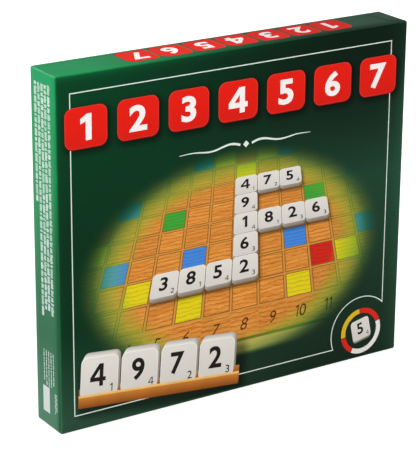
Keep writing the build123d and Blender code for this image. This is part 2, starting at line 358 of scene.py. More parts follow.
class Print:
    """Flat printed shapes on one surface, gathered and made one thin piece.

    A shape's layer says how many ink steps it stands off the paper, so that later ones show."""

    def __init__(self, place):
        self.place = place
        self.points, self.colours, self.faces, self.count = [], [], [], 0

    def add(self, points, faces, colours, layer):
        """Adds a shape of points (across, up), with one ink or one for each point."""
        points = np.asarray(points, float)
        self.points.append(self.place(points, layer * INK_STEP))
        self.colours.append(np.broadcast_to(np.asarray(colours, float), (len(points), 3)))
        self.faces += [[index + self.count for index in face] for face in faces]
        self.count += len(points)

    def plate(self, outline, colour, layer, rim=None, rim_width=0.12, shade=None):
        """A flat shape filled to its middle; rim colours its outer edge, and shade tints by place."""
        middle = outline.mean(0)
        rings = [middle + (outline - middle) * size for size in (1, 1 - rim_width, 0.5)]
        points = np.concatenate([*rings, middle[None]])
        count = len(outline)
        colours = np.tile(np.asarray(colour, float), (len(points), 1))
        if rim is not None:
            colours[:count] = rim
        if shade is not None:
            colours = shade(points, colours)
        first = np.arange(count)
        after = (first + 1) % count
        faces = []
        for a, b in ((first, after), (first + count, after + count)):
            faces += faces_of(a, b, b + count, a + count)
        faces += faces_of(first + 2 * count, after + 2 * count, 3 * count)
        self.add(points, faces, colours, layer)

    def ribbon(self, path, width, colour, layer, closed=False):
        """A line along a path, mitred at its bends; its width may change from point to point."""
        path = np.asarray(path, float)
        if closed:
            before, after = np.roll(path, 1, 0), np.roll(path, -1, 0)
        else:
            before = np.concatenate([2 * path[:1] - path[1:2], path[:-1]])
            after = np.concatenate([path[1:], 2 * path[-1:] - path[-2:-1]])
        a = (path - before) / np.linalg.norm(path - before, axis=1, keepdims=True)
        b = (after - path) / np.linalg.norm(after - path, axis=1, keepdims=True)
        tangent = (a + b) / np.linalg.norm(a + b, axis=1, keepdims=True)
        normal = np.stack([-tangent[:, 1], tangent[:, 0]], 1)
        reach = np.asarray(width) / 2 / np.clip((a * tangent).sum(1), 0.3, 1)
        points = np.concatenate([path - normal * reach[:, None], path + normal * reach[:, None]])
        count = len(path)
        steps = np.arange(count if closed else count - 1)
        after = (steps + 1) % count
        self.add(points, faces_of(steps, after, after + count, steps + count), colour, layer)

    def number(self, text, place, colour, layer, bold):
        """A plain number; place turns its own coordinates, 1 high and centred, to the surface's."""
        points, faces = glyph(text, bold)
        self.add(place(points), faces, colour, layer)

    def tile_numbers(self, number, place, forms, colour, layer):
        """A tile's number, and one from 1 to 4 in its corner; forms gives height, middle and boldness."""
        for text, (size, middle, bold) in zip((str(number), str(1 + number * 3 % 4)), forms):
            self.number(text, lambda p: place(p * size + middle), colour, layer, bold)

    def make(self, name, body, slot, material):
        """Makes the gathered shapes one mesh that faces outwards, without points that no face uses."""
        used = np.unique(np.concatenate([np.asarray(face) for face in self.faces]))
        place = np.zeros(used[-1] + 1, int)
        place[used] = np.arange(len(used))
        faces = [place[np.asarray(face)].tolist() for face in self.faces]
        points = np.concatenate(self.points)[used]
        mesh = new_mesh(name, points, faces, np.concatenate(self.colours)[used])
        origin = np.zeros((1, 2))
        outward = Vector(self.place(origin, 1.0)[0] - self.place(origin, 0.0)[0])
        with edited(mesh) as form:
            form.normal_update()
            wrong = [face for face in form.faces if face.normal.dot(outward) < 0]
            bmesh.ops.reverse_faces(form, faces=wrong)
        solidify(link(name, mesh, body, material), INK_THICKNESS)


# Materials

# Settings of a node that mixes two colours, which are its inputs 6 and 7, by a share, its input 0
MIX = {"out": 2, "data_type": "RGBA"}
# What a map of a noise takes in: the range that the noise mostly keeps to
NOISE = {1: 0.3, 2: 0.7}


def add(tree, kind, inputs=(), out=0, **settings):
    """Adds a node with its settings, and fills its inputs with constants or other nodes' sockets."""
    node = tree.nodes.new("ShaderNode" + kind)
    for name, value in settings.items():
        setattr(node, name, value)
    pairs = inputs.items() if isinstance(inputs, dict) else enumerate(inputs)
    for key, value in pairs:
        if isinstance(value, bpy.types.NodeSocket):
            tree.links.new(value, node.inputs[key])
        else:
            node.inputs[key].default_value = value
    return node.outputs[out]


def surface(name, **sockets):
    """A new material with one Principled shader, whose sockets are set here or linked later."""
    material = bpy.data.materials.new(name)
    material.use_nodes = True
    tree = material.node_tree
    tree.nodes.clear()
    shader = tree.nodes.new("ShaderNodeBsdfPrincipled")
    output = tree.nodes.new("ShaderNodeOutputMaterial")
    tree.links.new(shader.outputs[0], output.inputs[0])
    for key, value in sockets.items():
        shader.inputs[key.replace("_", " ")].default_value = value
    return material, tree, shader


def attach(tree, shader, **sockets):
    """Links sockets to the shader's inputs by name."""
    for key, value in sockets.items():
        tree.links.new(value, shader.inputs[key.replace("_", " ")])


def object_place(tree, scale=1 / MM):
    """Object coordinates in millimetres, or by another scale."""
    place = add(tree, "TexCoord", out=3)
    return add(tree, "VectorMath", {0: place, "Scale": scale}, operation="SCALE")


def printed_ink(tree):
    """The ink that the mesh carries at each point."""
    return add(tree, "Attribute", attribute_name="ink")


def away_from(tree, place, middle):
    """How far a place is from a middle, along X and along Y."""
    apart = add(tree, "VectorMath", (place, middle), operation="SUBTRACT")
    sizes = add(tree, "VectorMath", (apart,), operation="ABSOLUTE")
    return add(tree, "SeparateXYZ", (sizes,)).node.outputs[:2]


def veneer(tree, uv, cell):
    """Thin wavy grain lines along the rows, about 3 mm apart, that start afresh in each cell, and how
    strongly they show; each cell has its own tone."""
    own = add(tree, "TexWhiteNoise", {0: cell}, out=1, noise_dimensions="3D")
    shift = add(tree, "VectorMath", {0: own, 1: (7.0, 7.0, 7.0), 2: uv}, operation="MULTIPLY_ADD")
    waves = {"Scale": 1.9, "Distortion": 5.5, "Detail": 4.0, "Detail Scale": 1.1, "Detail Roughness": 0.7}
    grain = add(tree, "TexWave", {"Vector": shift, **waves}, bands_direction="Y")
    along = add(tree, "Mapping", {0: shift, 3: (0.8, 7.0, 1.0)})
    flecks = {"Scale": 1.7, "Detail": 5.0, "Roughness": 0.7, "Distortion": 0.4}
    tone = add(tree, "MapRange", {0: add(tree, "TexNoise", {"Vector": along, **flecks}), **NOISE})
    plain = add(tree, "Mix", {0: tone, 6: linear("#C57024"), 7: linear("#E8A24A")}, **MIX)
    streak = add(tree, "MapRange", {0: grain, 1: 0.72, 2: 1.0, 3: 0.0, 4: 0.55})
    streaked = add(tree, "Mix", {0: streak, 6: plain, 7: linear("#9C4C14")}, **MIX)
    own_tone = add(tree, "MapRange", {0: own, 3: 0.90, 4: 1.08})
    wood = add(tree, "VectorMath", {0: streaked, "Scale": own_tone}, operation="SCALE")
    return wood, streak


# Inks of the coloured cells, each from a first remainder up to the next one's; None is bare wood
CELL_INKS = [
    (0, "#CF2318"),
    (1, None),
    (3, "#DFCB18"),
    (4, None),
    (5, "#DFCB18"),
    (6, None),
    (7, "#3F9E36"),
    (8, "#4284D6"),
    (9, None),
]
DIVISOR = 17


def cell_paint(tree, cell):
    """The paint of a cell and whether it has any. It follows from the cell's distances a and b from
    the middle cell: what (a + b)(a + b + 2) + 3ab leaves when divided by 17, which makes the pattern
    alike in all four quarters and across both diagonals."""
    a, b = away_from(tree, cell, (CELLS // 2, CELLS // 2, 0.0))
    total = add(tree, "Math", (a, b), operation="ADD")
    next_but_one = add(tree, "Math", (total, 2.0), operation="ADD")
    square = add(tree, "Math", (total, next_but_one), operation="MULTIPLY")
    product = add(tree, "Math", (a, b), operation="MULTIPLY")
    code = add(tree, "Math", (product, 3.0, square), operation="MULTIPLY_ADD")
    left_over = add(tree, "Math", (code, DIVISOR), operation="FLOORED_MODULO")
    share = add(tree, "Math", (left_over, DIVISOR), operation="DIVIDE")
    paint = add(tree, "ValToRGB", (share,)).node
    ramp = paint.color_ramp
    ramp.interpolation = "CONSTANT"
    while len(ramp.elements) < len(CELL_INKS):
        ramp.elements.new(0.9)
    for element, (first, ink) in zip(ramp.elements, CELL_INKS):
        element.position = max(first - 0.5, 0) / DIVISOR
        element.color = linear(ink) if ink else (0, 0, 0, 0)
    return paint.outputs


# From a cell's middle, in cells: where its paint ends, where its outline runs and half the outline's
# width, and where the strip between cells begins
PAINT_END, OUTLINE, OUTLINE_HALF, STRIP = 0.44, 0.449, 0.013, 0.46


def wood_and_cells(tree, uv):
    """Colour of the printed wooden board at a place counted in cells.

    Each cell is veneer, under paint where it has any, with a thin dark outline, and a paler strip of
    wood lies between the cells. Rows below 0 are the border, and past -1 the side."""
    cell = add(tree, "VectorMath", (uv,), operation="FLOOR")
    wood, streak = veneer(tree, uv, cell)
    paint, painted = cell_paint(tree, cell)
    vein = add(tree, "Math", (streak, 0.5), operation="MULTIPLY")
    grained = add(tree, "Mix", {0: vein, 6: paint, 7: linear("#3A2A1A")}, **MIX)
    inside = add(tree, "VectorMath", (uv,), operation="FRACTION")
    edge = add(tree, "Math", away_from(tree, inside, (0.5, 0.5, 0.5)), operation="MAXIMUM")
    in_cell = add(tree, "Math", (edge, PAINT_END), operation="LESS_THAN")
    use_paint = add(tree, "Math", (painted, in_cell), operation="MULTIPLY")
    past_outline = add(tree, "Math", (edge, STRIP), operation="GREATER_THAN")
    on_outline = add(tree, "Math", (edge, OUTLINE, OUTLINE_HALF), operation="COMPARE")
    furthest = add(tree, "Math", away_from(tree, uv, (CELLS / 2, CELLS / 2, 0.0)), operation="MAXIMUM")
    on_border = add(tree, "Math", (furthest, CELLS / 2 + 0.02), operation="GREATER_THAN")
    row = add(tree, "SeparateXYZ", (uv,), out=1)
    on_side = add(tree, "Math", (row, -1.0), operation="LESS_THAN")
    side = add(tree, "Mix", {0: 0.5, 6: wood, 7: linear("#E8C38A")}, **MIX)
    on_lip = add(tree, "Math", (row, -1.04, 0.05), operation="COMPARE")
    layers = [
        (use_paint, grained),
        (past_outline, linear("#C98C40")),
        (on_outline, linear("#744716")),
        (on_border, wood),
        (on_side, side),
        (on_lip, linear("#6E3E14")),
    ]
    board = wood
    for share, layer in layers:
        board = add(tree, "Mix", {0: share, 6: board, 7: layer}, **MIX)
    return board


def laminated_paper(name, colour_of):
    """Litho-printed art paper under a satin film: even colour, soft sheen, faint orange peel.

    colour_of takes the node tree and gives the ink's colour socket."""
    material, tree, shader = surface(name, Roughness=0.34, IOR=1.45, Specular_IOR_Level=0.08)
    place = object_place(tree)
    cloud = add(tree, "TexNoise", {"Vector": place, "Scale": 0.02, "Detail": 3.0})
    gloss = add(tree, "MapRange", {0: cloud, **NOISE, 3: 0.30, 4: 0.42})
    fibre = add(tree, "TexNoise", {"Vector": place, "Scale": 0.9, "Detail": 4.0, "Roughness": 0.6})
    dull = add(tree, "MapRange", {0: fibre, **NOISE, 3: 0.965, 4: 1.03})
    tinted = add(tree, "VectorMath", {0: colour_of(tree), "Scale": dull}, operation="SCALE")
    warp = add(tree, "TexNoise", {"Vector": place, "Scale": 0.011, "Detail": 1.0})
    slow = add(tree, "Bump", {"Strength": 0.6, "Distance": 0.0012, "Height": warp})
    fine = add(tree, "Bump", {"Strength": 0.12, "Distance": 0.00008, "Height": fibre, "Normal": slow})
    attach(tree, shader, Base_Color=tinted, Roughness=gloss, Normal=fine)
    return material


def picture_colour(tree):
    """The ink under the picture, with the wooden board over it. It appears as the shade rises from
    0 to 1: first a green tint of it, then an olive one, then its own colours."""
    colour = printed_ink(tree)
    shown = add(tree, "Attribute", out=2, attribute_name="shade")
    board = wood_and_cells(tree, add(tree, "UVMap", uv_map="board"))
    green = add(tree, "Mix", {0: 0.82, 6: board, 7: linear("#1B7430")}, **MIX)
    olive = add(tree, "Mix", {0: 0.52, 6: board, 7: linear("#5FA62C")}, **MIX)
    for layer, first, last in ((green, 0.0, 0.3), (olive, 0.12, 0.45), (board, 0.35, 0.75)):
        share = add(tree, "MapRange", {0: shown, 1: first, 2: last}, interpolation_type="SMOOTHSTEP")
        colour = add(tree, "Mix", {0: share, 6: colour, 7: layer}, **MIX)
    shadow = add(tree, "Attribute", attribute_name="shadow")
    return add(tree, "Mix", {0: 1.0, 6: colour, 7: shadow}, blend_type="MULTIPLY", **MIX)


def board_print(name, upward, start):
    """Litho-printed sheet of the playing board under a satin film: the wooden grid, counted in cells
    from its lower left corner. Start is the row at height 0, and rows rise with height where upward
    is 1, and fall where it is -1, as on the half that lies face to face with the other."""

    def colour_of(tree):
        scaled = add(tree, "Mapping", {0: object_place(tree, 1 / CELL), 3: (1.0, 0.0, upward)})
        apart = add(tree, "SeparateXYZ", (scaled,)).node
        column = add(tree, "Math", (apart.outputs[0], CELLS / 2), operation="ADD")
        row = add(tree, "Math", (apart.outputs[2], start), operation="ADD")
        return wood_and_cells(tree, add(tree, "CombineXYZ", (column, row, 0.0)))

    return laminated_paper(name, colour_of)


def ink_paper():
    """The one material of all flat printed shapes on the box and the board."""
    made = bpy.data.materials.get("laminated_offset_ink")
    return made or laminated_paper("laminated_offset_ink", printed_ink)


def plain_ink(name, roughness):
    """Pad-printed or offset ink with no film over it, a little uneven in gloss."""
    material, tree, shader = surface(name, Roughness=roughness, IOR=1.5)
    cloud = add(tree, "TexNoise", {"Vector": object_place(tree), "Scale": 1.1, "Detail": 2.0})
    gloss = add(tree, "MapRange", {0: cloud, **NOISE, 3: roughness - 0.06, 4: roughness + 0.06})
    attach(tree, shader, Base_Color=printed_ink(tree), Roughness=gloss)
    return material


def greyboard(name):
    """Uncoated recycled board: grey-brown, matt, with light and dark fibre specks about 0.4 mm long."""
    material, tree, shader = surface(name, Roughness=0.9, IOR=1.45)
    place = object_place(tree)
    speck = add(tree, "TexNoise", {"Vector": place, "Scale": 2.2, "Detail": 4.0, "Roughness": 0.7})
    share = add(tree, "MapRange", {0: speck, 1: 0.35, 2: 0.65, 3: 0.0, 4: 1.0})
    colour = add(tree, "Mix", {0: share, 6: linear("#8C8478"), 7: linear("#B0A99C")}, **MIX)
    rough = add(tree, "Bump", {"Strength": 0.25, "Distance": 0.0001, "Height": speck})
    attach(tree, shader, Base_Color=colour, Normal=rough)
    return material


def moulded_plastic(name, colour, *, roughness, grain_mm, depth):
    """Injection-moulded or formed plastic: even colour with a fine spark-eroded grain in its gloss."""
    material, tree, shader = surface(name, Roughness=roughness, IOR=1.53)
    place = object_place(tree)
    grain = add(tree, "TexNoise", {"Vector": place, "Scale": 1 / grain_mm, "Detail": 2.0})
    cloud = add(tree, "TexNoise", {"Vector": place, "Scale": 0.05, "Detail": 2.0})
    shade = add(tree, "MapRange", {0: cloud, **NOISE, 3: 0.94, 4: 1.06})
    tinted = add(tree, "VectorMath", {0: colour, "Scale": shade}, operation="SCALE")
    gloss = add(tree, "MapRange", {0: grain, **NOISE, 3: roughness - 0.04, 4: roughness + 0.06})
    fine = add(tree, "Bump", {"Strength": 0.3, "Distance": depth, "Height": grain})
    attach(tree, shader, Base_Color=tinted, Roughness=gloss, Normal=fine)
    return material


def embossed_lining(name, text):
    """Dyed cover paper pressed with a leather grain of about 1.2 mm, which breaks up its sheen."""
    material, tree, shader = surface(name, Roughness=0.55, IOR=1.45)
    place = object_place(tree)
    grain = add(tree, "TexVoronoi", {"Vector": place, "Scale": 0.85}, feature="SMOOTH_F1")
    cloud = add(tree, "TexNoise", {"Vector": place, "Scale": 0.03, "Detail": 3.0})
    shade = add(tree, "MapRange", {0: cloud, **NOISE, 3: 0.88, 4: 1.12})
    tinted = add(tree, "VectorMath", {0: linear(text)[:3], "Scale": shade}, operation="SCALE")
    pressed = add(tree, "Bump", {"Strength": 0.5, "Distance": 0.0002, "Height": grain})
    attach(tree, shader, Base_Color=tinted, Normal=pressed)
    return material


def leaflet_paper(name):
    """Uncoated offset paper: off-white, matt, with a faint cloudy formation and a fibre bump."""
    material, tree, shader = surface(name, Roughness=0.85, IOR=1.45)
    place = object_place(tree)
    cloud = add(tree, "TexNoise", {"Vector": place, "Scale": 0.25, "Detail": 4.0})
    fibre = add(tree, "TexNoise", {"Vector": place, "Scale": 2.5, "Detail": 3.0})
    colour = add(tree, "Mix", {0: cloud, 6: linear("#E4E1D8"), 7: linear("#F1EFE8")}, **MIX)
    rough = add(tree, "Bump", {"Strength": 0.15, "Distance": 0.00005, "Height": fibre})
    attach(tree, shader, Base_Color=colour, Normal=rough)
    return material


def moulded_tile(name):
    """Injection-moulded polystyrene in ivory: glossy and a little uneven, each tile its own tint."""
    material, tree, shader = surface(name, Roughness=0.3, IOR=1.55)
    grain = add(tree, "TexNoise", {"Vector": object_place(tree), "Scale": 1.4, "Detail": 2.0})
    gloss = add(tree, "MapRange", {0: grain, **NOISE, 3: 0.24, 4: 0.38})
    speck = add(tree, "MapRange", {0: grain, 1: 0.35, 2: 0.65, 3: 0.975, 4: 1.02})
    tinted = add(tree, "VectorMath", {0: printed_ink(tree), "Scale": speck}, operation="SCALE")
    fine = add(tree, "Bump", {"Strength": 0.2, "Distance": 0.00005, "Height": grain})
    attach(tree, shader, Base_Color=tinted, Roughness=gloss, Normal=fine)
    return material


# The design of the front

# The pictured board, seen straight on and from above: where its lower left corner lies, the step of a
# column, the step of a row, how much smaller each row makes those behind it, and a cell's rise
PICTURE_CORNER = np.array([-181.0, 64.0]) * MM
PICTURE_COLUMN = 25.0 * MM
PICTURE_ROW = np.array([9.4, 22.0]) * MM
PICTURE_SHRINK = 0.05
PICTURE_RISE = 22.0 * MM

# The oval of light on it: its middle and its half width and half height, in millimetres
GLOW_MIDDLE = (-2, 104)
GLOW_REACH = (140, 92)

# Pale tiles on the pictured board, in the shape of a Z: column, row and number
BOARD_TILES = [(4 + i, 1, number) for i, number in enumerate((3, 8, 5))]
BOARD_TILES += [(7, 1 + i, number) for i, number in enumerate((2, 6, 1, 9, 4))]
BOARD_TILES += [(8 + i, 5, number) for i, number in enumerate((7, 5))]
BOARD_TILES += [(8, 3, 8), (9, 3, 2), (10, 3, 6)]

# The pictured rack at the lower left, in millimetres: its left foot, its directions along and up,
# its length, its lip's height, and its tiles' size, step and numbers
RACK_START = np.array([-136.0, 17.0])
RACK_ALONG = np.array([math.cos(math.radians(-5)), math.sin(math.radians(-5))])
RACK_UP = np.array([0.06, 1.0])
RACK_LENGTH = 138.0
RACK_LIP = 10.0
RACK_TILE = 31.0
RACK_STEP = 33.5
RACK_NUMBERS = (4, 9, 7, 2)

# The rack's print lies over that of all tiles on the board, and theirs over that of the rows behind
RACK_LAYER = 16

# The row of red tiles at the head
RED_TILES = 7
RED_SIZE = np.array([33.5, 29.7]) * MM
RED_ROW = np.linspace((-126.25, 226.3), (123.65, 226.3), RED_TILES) * MM

FLOURISH = np.array([6.0, 192.5]) * MM
BADGE = np.array([115.6, 22.4]) * MM
NOTCH_RADIUS = 28.4 * MM


def board_to_front(u, v, height=0.0):
    """Where a point of the pictured board falls on the front: its column and row steps added up, and
    divided by one plus the shrink of each row, which draws far rows smaller; height lifts it."""
    depth = 1 + PICTURE_SHRINK * v
    x = PICTURE_CORNER[0] + (PICTURE_COLUMN * u + PICTURE_ROW[0] * v) / depth
    z = PICTURE_CORNER[1] + (PICTURE_ROW[1] * v + PICTURE_RISE * height) / depth
    return np.stack([x, z], -1)


def front_to_board(x, z):
    """The column and row under a point of the front, which undoes board_to_front on the board's plane."""
    dx, dz = x - PICTURE_CORNER[0], z - PICTURE_CORNER[1]
    v = dz / (PICTURE_ROW[1] - dz * PICTURE_SHRINK)
    return (dx * (1 + PICTURE_SHRINK * v) - PICTURE_ROW[0] * v) / PICTURE_COLUMN, v


def rack_place(along, up):
    """A point of the pictured rack on the front, from its left foot."""
    return (RACK_START + np.multiply.outer(along, RACK_ALONG) + np.multiply.outer(up, RACK_UP)) * MM


def box_distance(p, q, half, radius):
    """Distance from a point to a rounded box around the origin, less than 0 inside."""
    wide, high = np.broadcast_to(half, 2)
    x, y = np.abs(p) - wide + radius, np.abs(q) - high + radius
    return np.hypot(np.maximum(x, 0), np.maximum(y, 0)) + np.minimum(np.maximum(x, y), 0) - radius


def soft_shadow(away, near, far, dark):
    """What a shadow leaves of the light: 1 - dark up to a near distance, and all from a far one on."""
    return 1 - dark * (1 - smooth(near, far, away))


def printed_shadow(x, z):
    """How dark the print is under its tiles: 1 is plain, and soft shadows fall to the lower right."""
    light = np.ones_like(x)
    u, v = front_to_board(x - 1.2 * MM, z + 1.6 * MM)
    for column, row, _ in BOARD_TILES:
        away = box_distance(u - column - 0.5, v - row - 0.5, 0.49, 0.12)
        light *= soft_shadow(away, -0.03, 0.16, 0.62)
    for middle in RED_ROW + np.array([1.5, -2.2]) * MM:
        wide, high = (x - middle[0]) / RED_SIZE[0], (z - middle[1]) / RED_SIZE[1]
        light *= soft_shadow(box_distance(wide, high, 0.5, 0.2), -0.06, 0.20, 0.75)
    # The rack and its tiles cast one shadow, a little lower than they are
    high = RACK_LIP + RACK_TILE - 5
    from_middle = np.stack([x, z], -1) / MM - rack_place(RACK_LENGTH / 2 + 3, high / 2 - 5) / MM
    p, q = from_middle @ RACK_ALONG, from_middle @ (-RACK_ALONG[1], RACK_ALONG[0])
    return light * soft_shadow(box_distance(p, q, (RACK_LENGTH / 2, high / 2), 4), -2, 8, 0.7)


def front_green(x, z):
    """The plain green of the front, by height at its left and at its right: deep at the top left,
    near black at the top right and greyer at the foot, where a painted reflection of the pale floor
    lies. A painted highlight brightens it along the right edge, and within 2 mm of the left and of
    the top left edge, along the folds."""
    up = z / MM
    across = smooth(-150 * MM, 110 * MM, x)
    # Its greyer foot at the left is a painted reflection of the pale floor
    left = stops(up, (8, "#2A4A38"), (77, "#032E17"), (140, "#032E17"), (240, "#013B1E"))
    right = stops(up, (8, "#12271A"), (150, "#1A3F2B"), (205, "#0A2417"), (250, "#051B10"))
    # A painted highlight along the right edge, where the face curves towards the light
    edge = stops(up, (50, "#264B36"), (120, "#2A5740"), (200, "#28533C"), (250, "#16321F"))
    from_left, from_right, from_top = (x - LID_LOW[0]) / MM, (LID_HIGH[0] - x) / MM, HEIGHT / MM - up
    colour = mix(mix(left, right, across), edge, np.exp(-from_right / 8.0) * 0.85)
    # A painted highlight along the left fold and the top left fold
    fold_highlight = mix(srgb("#0C7A40"), srgb("#23603D"), smooth(HEIGHT, 0, z))
    near = np.maximum(np.exp(-from_left / 1.2), np.exp(-from_top / 2.5) * (1 - across))
    return mix(colour, fold_highlight, near * 0.7)


def board_shown(x, z):
    """How much of the board shows: it fades towards the rim of an oval, and stops at its near side."""
    away = np.hypot((x / MM - GLOW_MIDDLE[0]) / GLOW_REACH[0], (z / MM - GLOW_MIDDLE[1]) / GLOW_REACH[1])
    return smooth(1.0, 0.42, away) * smooth(-1.62, -1.40, front_to_board(x, z)[1])


# The paper of the box


def lid_ink(points):
    """Ink of the lid's paper by place: dark green in front, brighter on the ends and the top, where a
    painted sheen runs from bright at the left to dark at the right. The left end greys towards its
    foot, a painted reflection of the floor, and near the front fold the left end and the top carry
    painted light and shade of the rounded fold. Pale wear along the folds also stands in for their
    painted highlight."""
    x, y, z = points.T
    from_front, across, up = y - FRONT, x / MM, z / MM
    to_left, to_right, to_top = x - LID_LOW[0], LID_HIGH[0] - x, HEIGHT - z
    to_end, to_long_wall = np.minimum(to_left, to_right), np.minimum(to_top, z)
    # The left end greys towards its foot: a painted reflection of the pale floor
    left = stops(up, (20, "#4A7D62"), (72, "#2D6A49"), (190, "#26925A"), (245, "#1C985C"))
    # Near the front fold the left end is darker: painted shade of the rounded fold
    left_fold_shade = stops(up, (30, "#195030"), (130, "#0A552C"), (190, "#0A8446"), (245, "#149454"))
    left = mix(left_fold_shade, left, smooth(3 * MM, 7 * MM, from_front))
    # Across the top a painted sheen runs from bright at the left to dark at the right
    top = stops(across, (-120, "#1E8550"), (10, "#28523A"), (90, "#2A4A38"), (130, "#234433"))
    # Near the front fold the top has a painted highlight at the left and painted shade at the right
    top_fold_light_and_shade = stops(across, (-113, "#108A48"), (20, "#0A3C1E"), (90, "#081F12"), (130, "#0F2A1B"))
    top = mix(top_fold_light_and_shade, top, smooth(3 * MM, 8 * MM, from_front))
    colour = mix(srgb("#1F7A48"), srgb("#2B5A40"), smooth(HEIGHT, 0, z))
    is_left = (to_left < to_right) & (to_left < to_long_wall)
    colour = np.where(is_left[:, None], left, colour)
    colour = np.where((to_top <= to_end)[:, None], top, colour)
    colour = mix(front_green(x, z), colour, smooth(0.15 * MM, 1.1 * MM, from_front))
    # Pale wear along the folds, partly real wear and partly their painted highlight
    fold = np.exp(-((from_front / WEAR) ** 2)) * (np.minimum(to_end, to_long_wall) < EDGE)
    upright = np.exp(-((np.maximum(to_end, to_long_wall) / WEAR) ** 2)) * (from_front > FOLD_RADIUS / 2)
    uneven = 0.7 + 0.3 * ripple(x * 9, z * 9 + y * 40)
    return mix(colour, srgb("#8CCBA8"), np.clip(fold * 0.2 + upright * 0.5, 0, 1) * uneven)


def base_ink(points):
    """Ink of the base's paper: the same green, a little deeper, with faint wear at the folds."""
    x, y, z = points.T
    colour = mix(srgb("#155C36"), srgb("#1C4A32"), smooth(BASE_HIGH[2], BASE_LOW[2], z))
    to_edge = np.stack([x - BASE_LOW[0], BASE_HIGH[0] - x, z - BASE_LOW[2], BASE_HIGH[2] - z]).min(0)
    wear = np.exp(-(((BACK - y) / WEAR) ** 2)) * (to_edge < EDGE) * 0.3
    return mix(colour, srgb("#9CCDB0"), wear)


# Where a rounded edge has turned by 45, 30, 15 and 0 degrees, in radii from the sharp one
TURNS = 1 - np.tan(np.radians([45, 30, 15, 0]))


def grid_lines(low, high, radius, step):
    """Places of grid lines along one side of a rounded box: even in the middle, and at the turns of
    the rounded edge near each end."""
    near = radius * TURNS
    middle = np.linspace(low + radius, high - radius, max(int((high - low) / step), 2))[1:-1]
    return np.concatenate([low + near, middle, (high - near)[::-1]])


def paper_shell(low, high, radius, turn_in, step):
    """The paper round one half of a box: a panel, four walls, a fold over the rim and a turned-in flap.

    Each point of a sharp box is pulled to the nearest point of a smaller inner box and pushed out by
    the radius, which rounds the panel's edges and the upright ones. The walls are rings of the same
    outline at rising depth; past the rim the rings step inwards and run back inside the wall."""
    xs = grid_lines(low[0], high[0], radius, step)
    zs = grid_lines(low[2], high[2], radius, step)
    gx, gz = np.meshgrid(xs, zs)
    panel = at_depth(gx.ravel(), gz.ravel(), low[1])
    index = np.arange(gx.size).reshape(gx.shape)
    ring = np.concatenate([index[0, :-1], index[:-1, -1], index[-1, :0:-1], index[:0:-1, 0]])
    depths = np.concatenate([radius * TURNS[1:], np.linspace(radius, high[1] - low[1], 8)[1:]])
    walls = [panel[ring] + (0, depth, 0) for depth in depths]
    sharp = np.concatenate([panel, *walls])
    inner_high = np.array([high[0] - radius, high[1], high[2] - radius])
    core = np.clip(sharp, low + radius, inner_high)
    out = sharp - core
    length = np.linalg.norm(out, axis=1, keepdims=True)
    points = core + np.where(length > 1e-9, out / np.maximum(length, 1e-9) * radius, 0)
    rim = points[-len(ring) :]
    # Rings past the rim: how far each lies in from the wall's face, and how far over the rim
    over = 0.22 * MM
    steps = [(0.12 * MM, over * 0.8), (0.5 * MM, over)]
    steps += [(WALL - 0.3 * MM, over), (WALL + 0.1 * MM, over * 0.8)]
    steps += [(WALL + over, -share * turn_in) for share in (0.02, 0.35, 0.7, 1.0)]
    flaps = []
    for inset, past in steps:
        x = np.clip(rim[:, 0], low[0] + inset, high[0] - inset)
        z = np.clip(rim[:, 2], low[2] + inset, high[2] - inset)
        flaps.append(at_depth(x, z, high[1] + past))
    faces = grid_faces(*gx.shape)
    previous = ring
    for number in range(len(walls) + len(flaps)):
        this = gx.size + number * len(ring) + np.arange(len(ring))
        faces += faces_of(previous, this, np.roll(this, -1), np.roll(previous, -1))
        previous = this
    return np.concatenate([points, *flaps]), faces


def papered_half(half, paper, points, faces, inks):
    """The printed paper of the lid or the base, which stands for its wrap, and the half's greyboard."""
    mesh = new_mesh(f"{half}_paper", points, faces, inks)
    with edited(mesh) as form:
        bmesh.ops.remove_doubles(form, verts=form.verts, dist=MERGE)
        bmesh.ops.dissolve_degenerate(form, edges=form.edges, dist=MERGE)
    material = laminated_paper(paper, printed_ink)
    piece = link(f"{half}_paper", mesh, half, material, [f"{half}_wrap"])
    shade_smooth(solidify(piece, PAPER), 50)
    board = greyboard(f"{half}_greyboard")
    for wall in ("panel", "top_wall", "bottom_wall", "left_wall", "right_wall"):
        recolour(f"{half}_{wall}", board)


def softened(node, body, material, radius):
    """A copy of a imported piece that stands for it: its triangles merged to whole faces, and its edges
    rounded with the given radius."""
    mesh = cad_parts[node].data.copy()
    mesh.materials.clear()
    with edited(mesh) as form:
        bmesh.ops.remove_doubles(form, verts=form.verts, dist=MERGE)
        level = math.radians(1)
        bmesh.ops.dissolve_limit(form, angle_limit=level, verts=form.verts, edges=form.edges)
    piece = link(node + "_softened", mesh, body, material, [node])
    modifier = piece.modifiers.new("edges", "BEVEL")
    modifier.width = radius
    modifier.segments = 2
    modifier.limit_method = "ANGLE"
    modifier.angle_limit = math.radians(40)
    shade_smooth(piece, 50)


def recolour(node, material):
    """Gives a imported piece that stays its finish."""
    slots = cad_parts[node].data.materials
    slots.clear()
    slots.append(material)


# Printed shapes that repeat


# Small print: heights of its bars as shares of the line's, and a bar's width and the gap after a word
# as shares of the step from bar to bar
BAR_HEIGHTS = (0.78, 0.78, 0.82, 1.0)
BAR_WIDTH = 0.78
WORD_GAP = 1.07


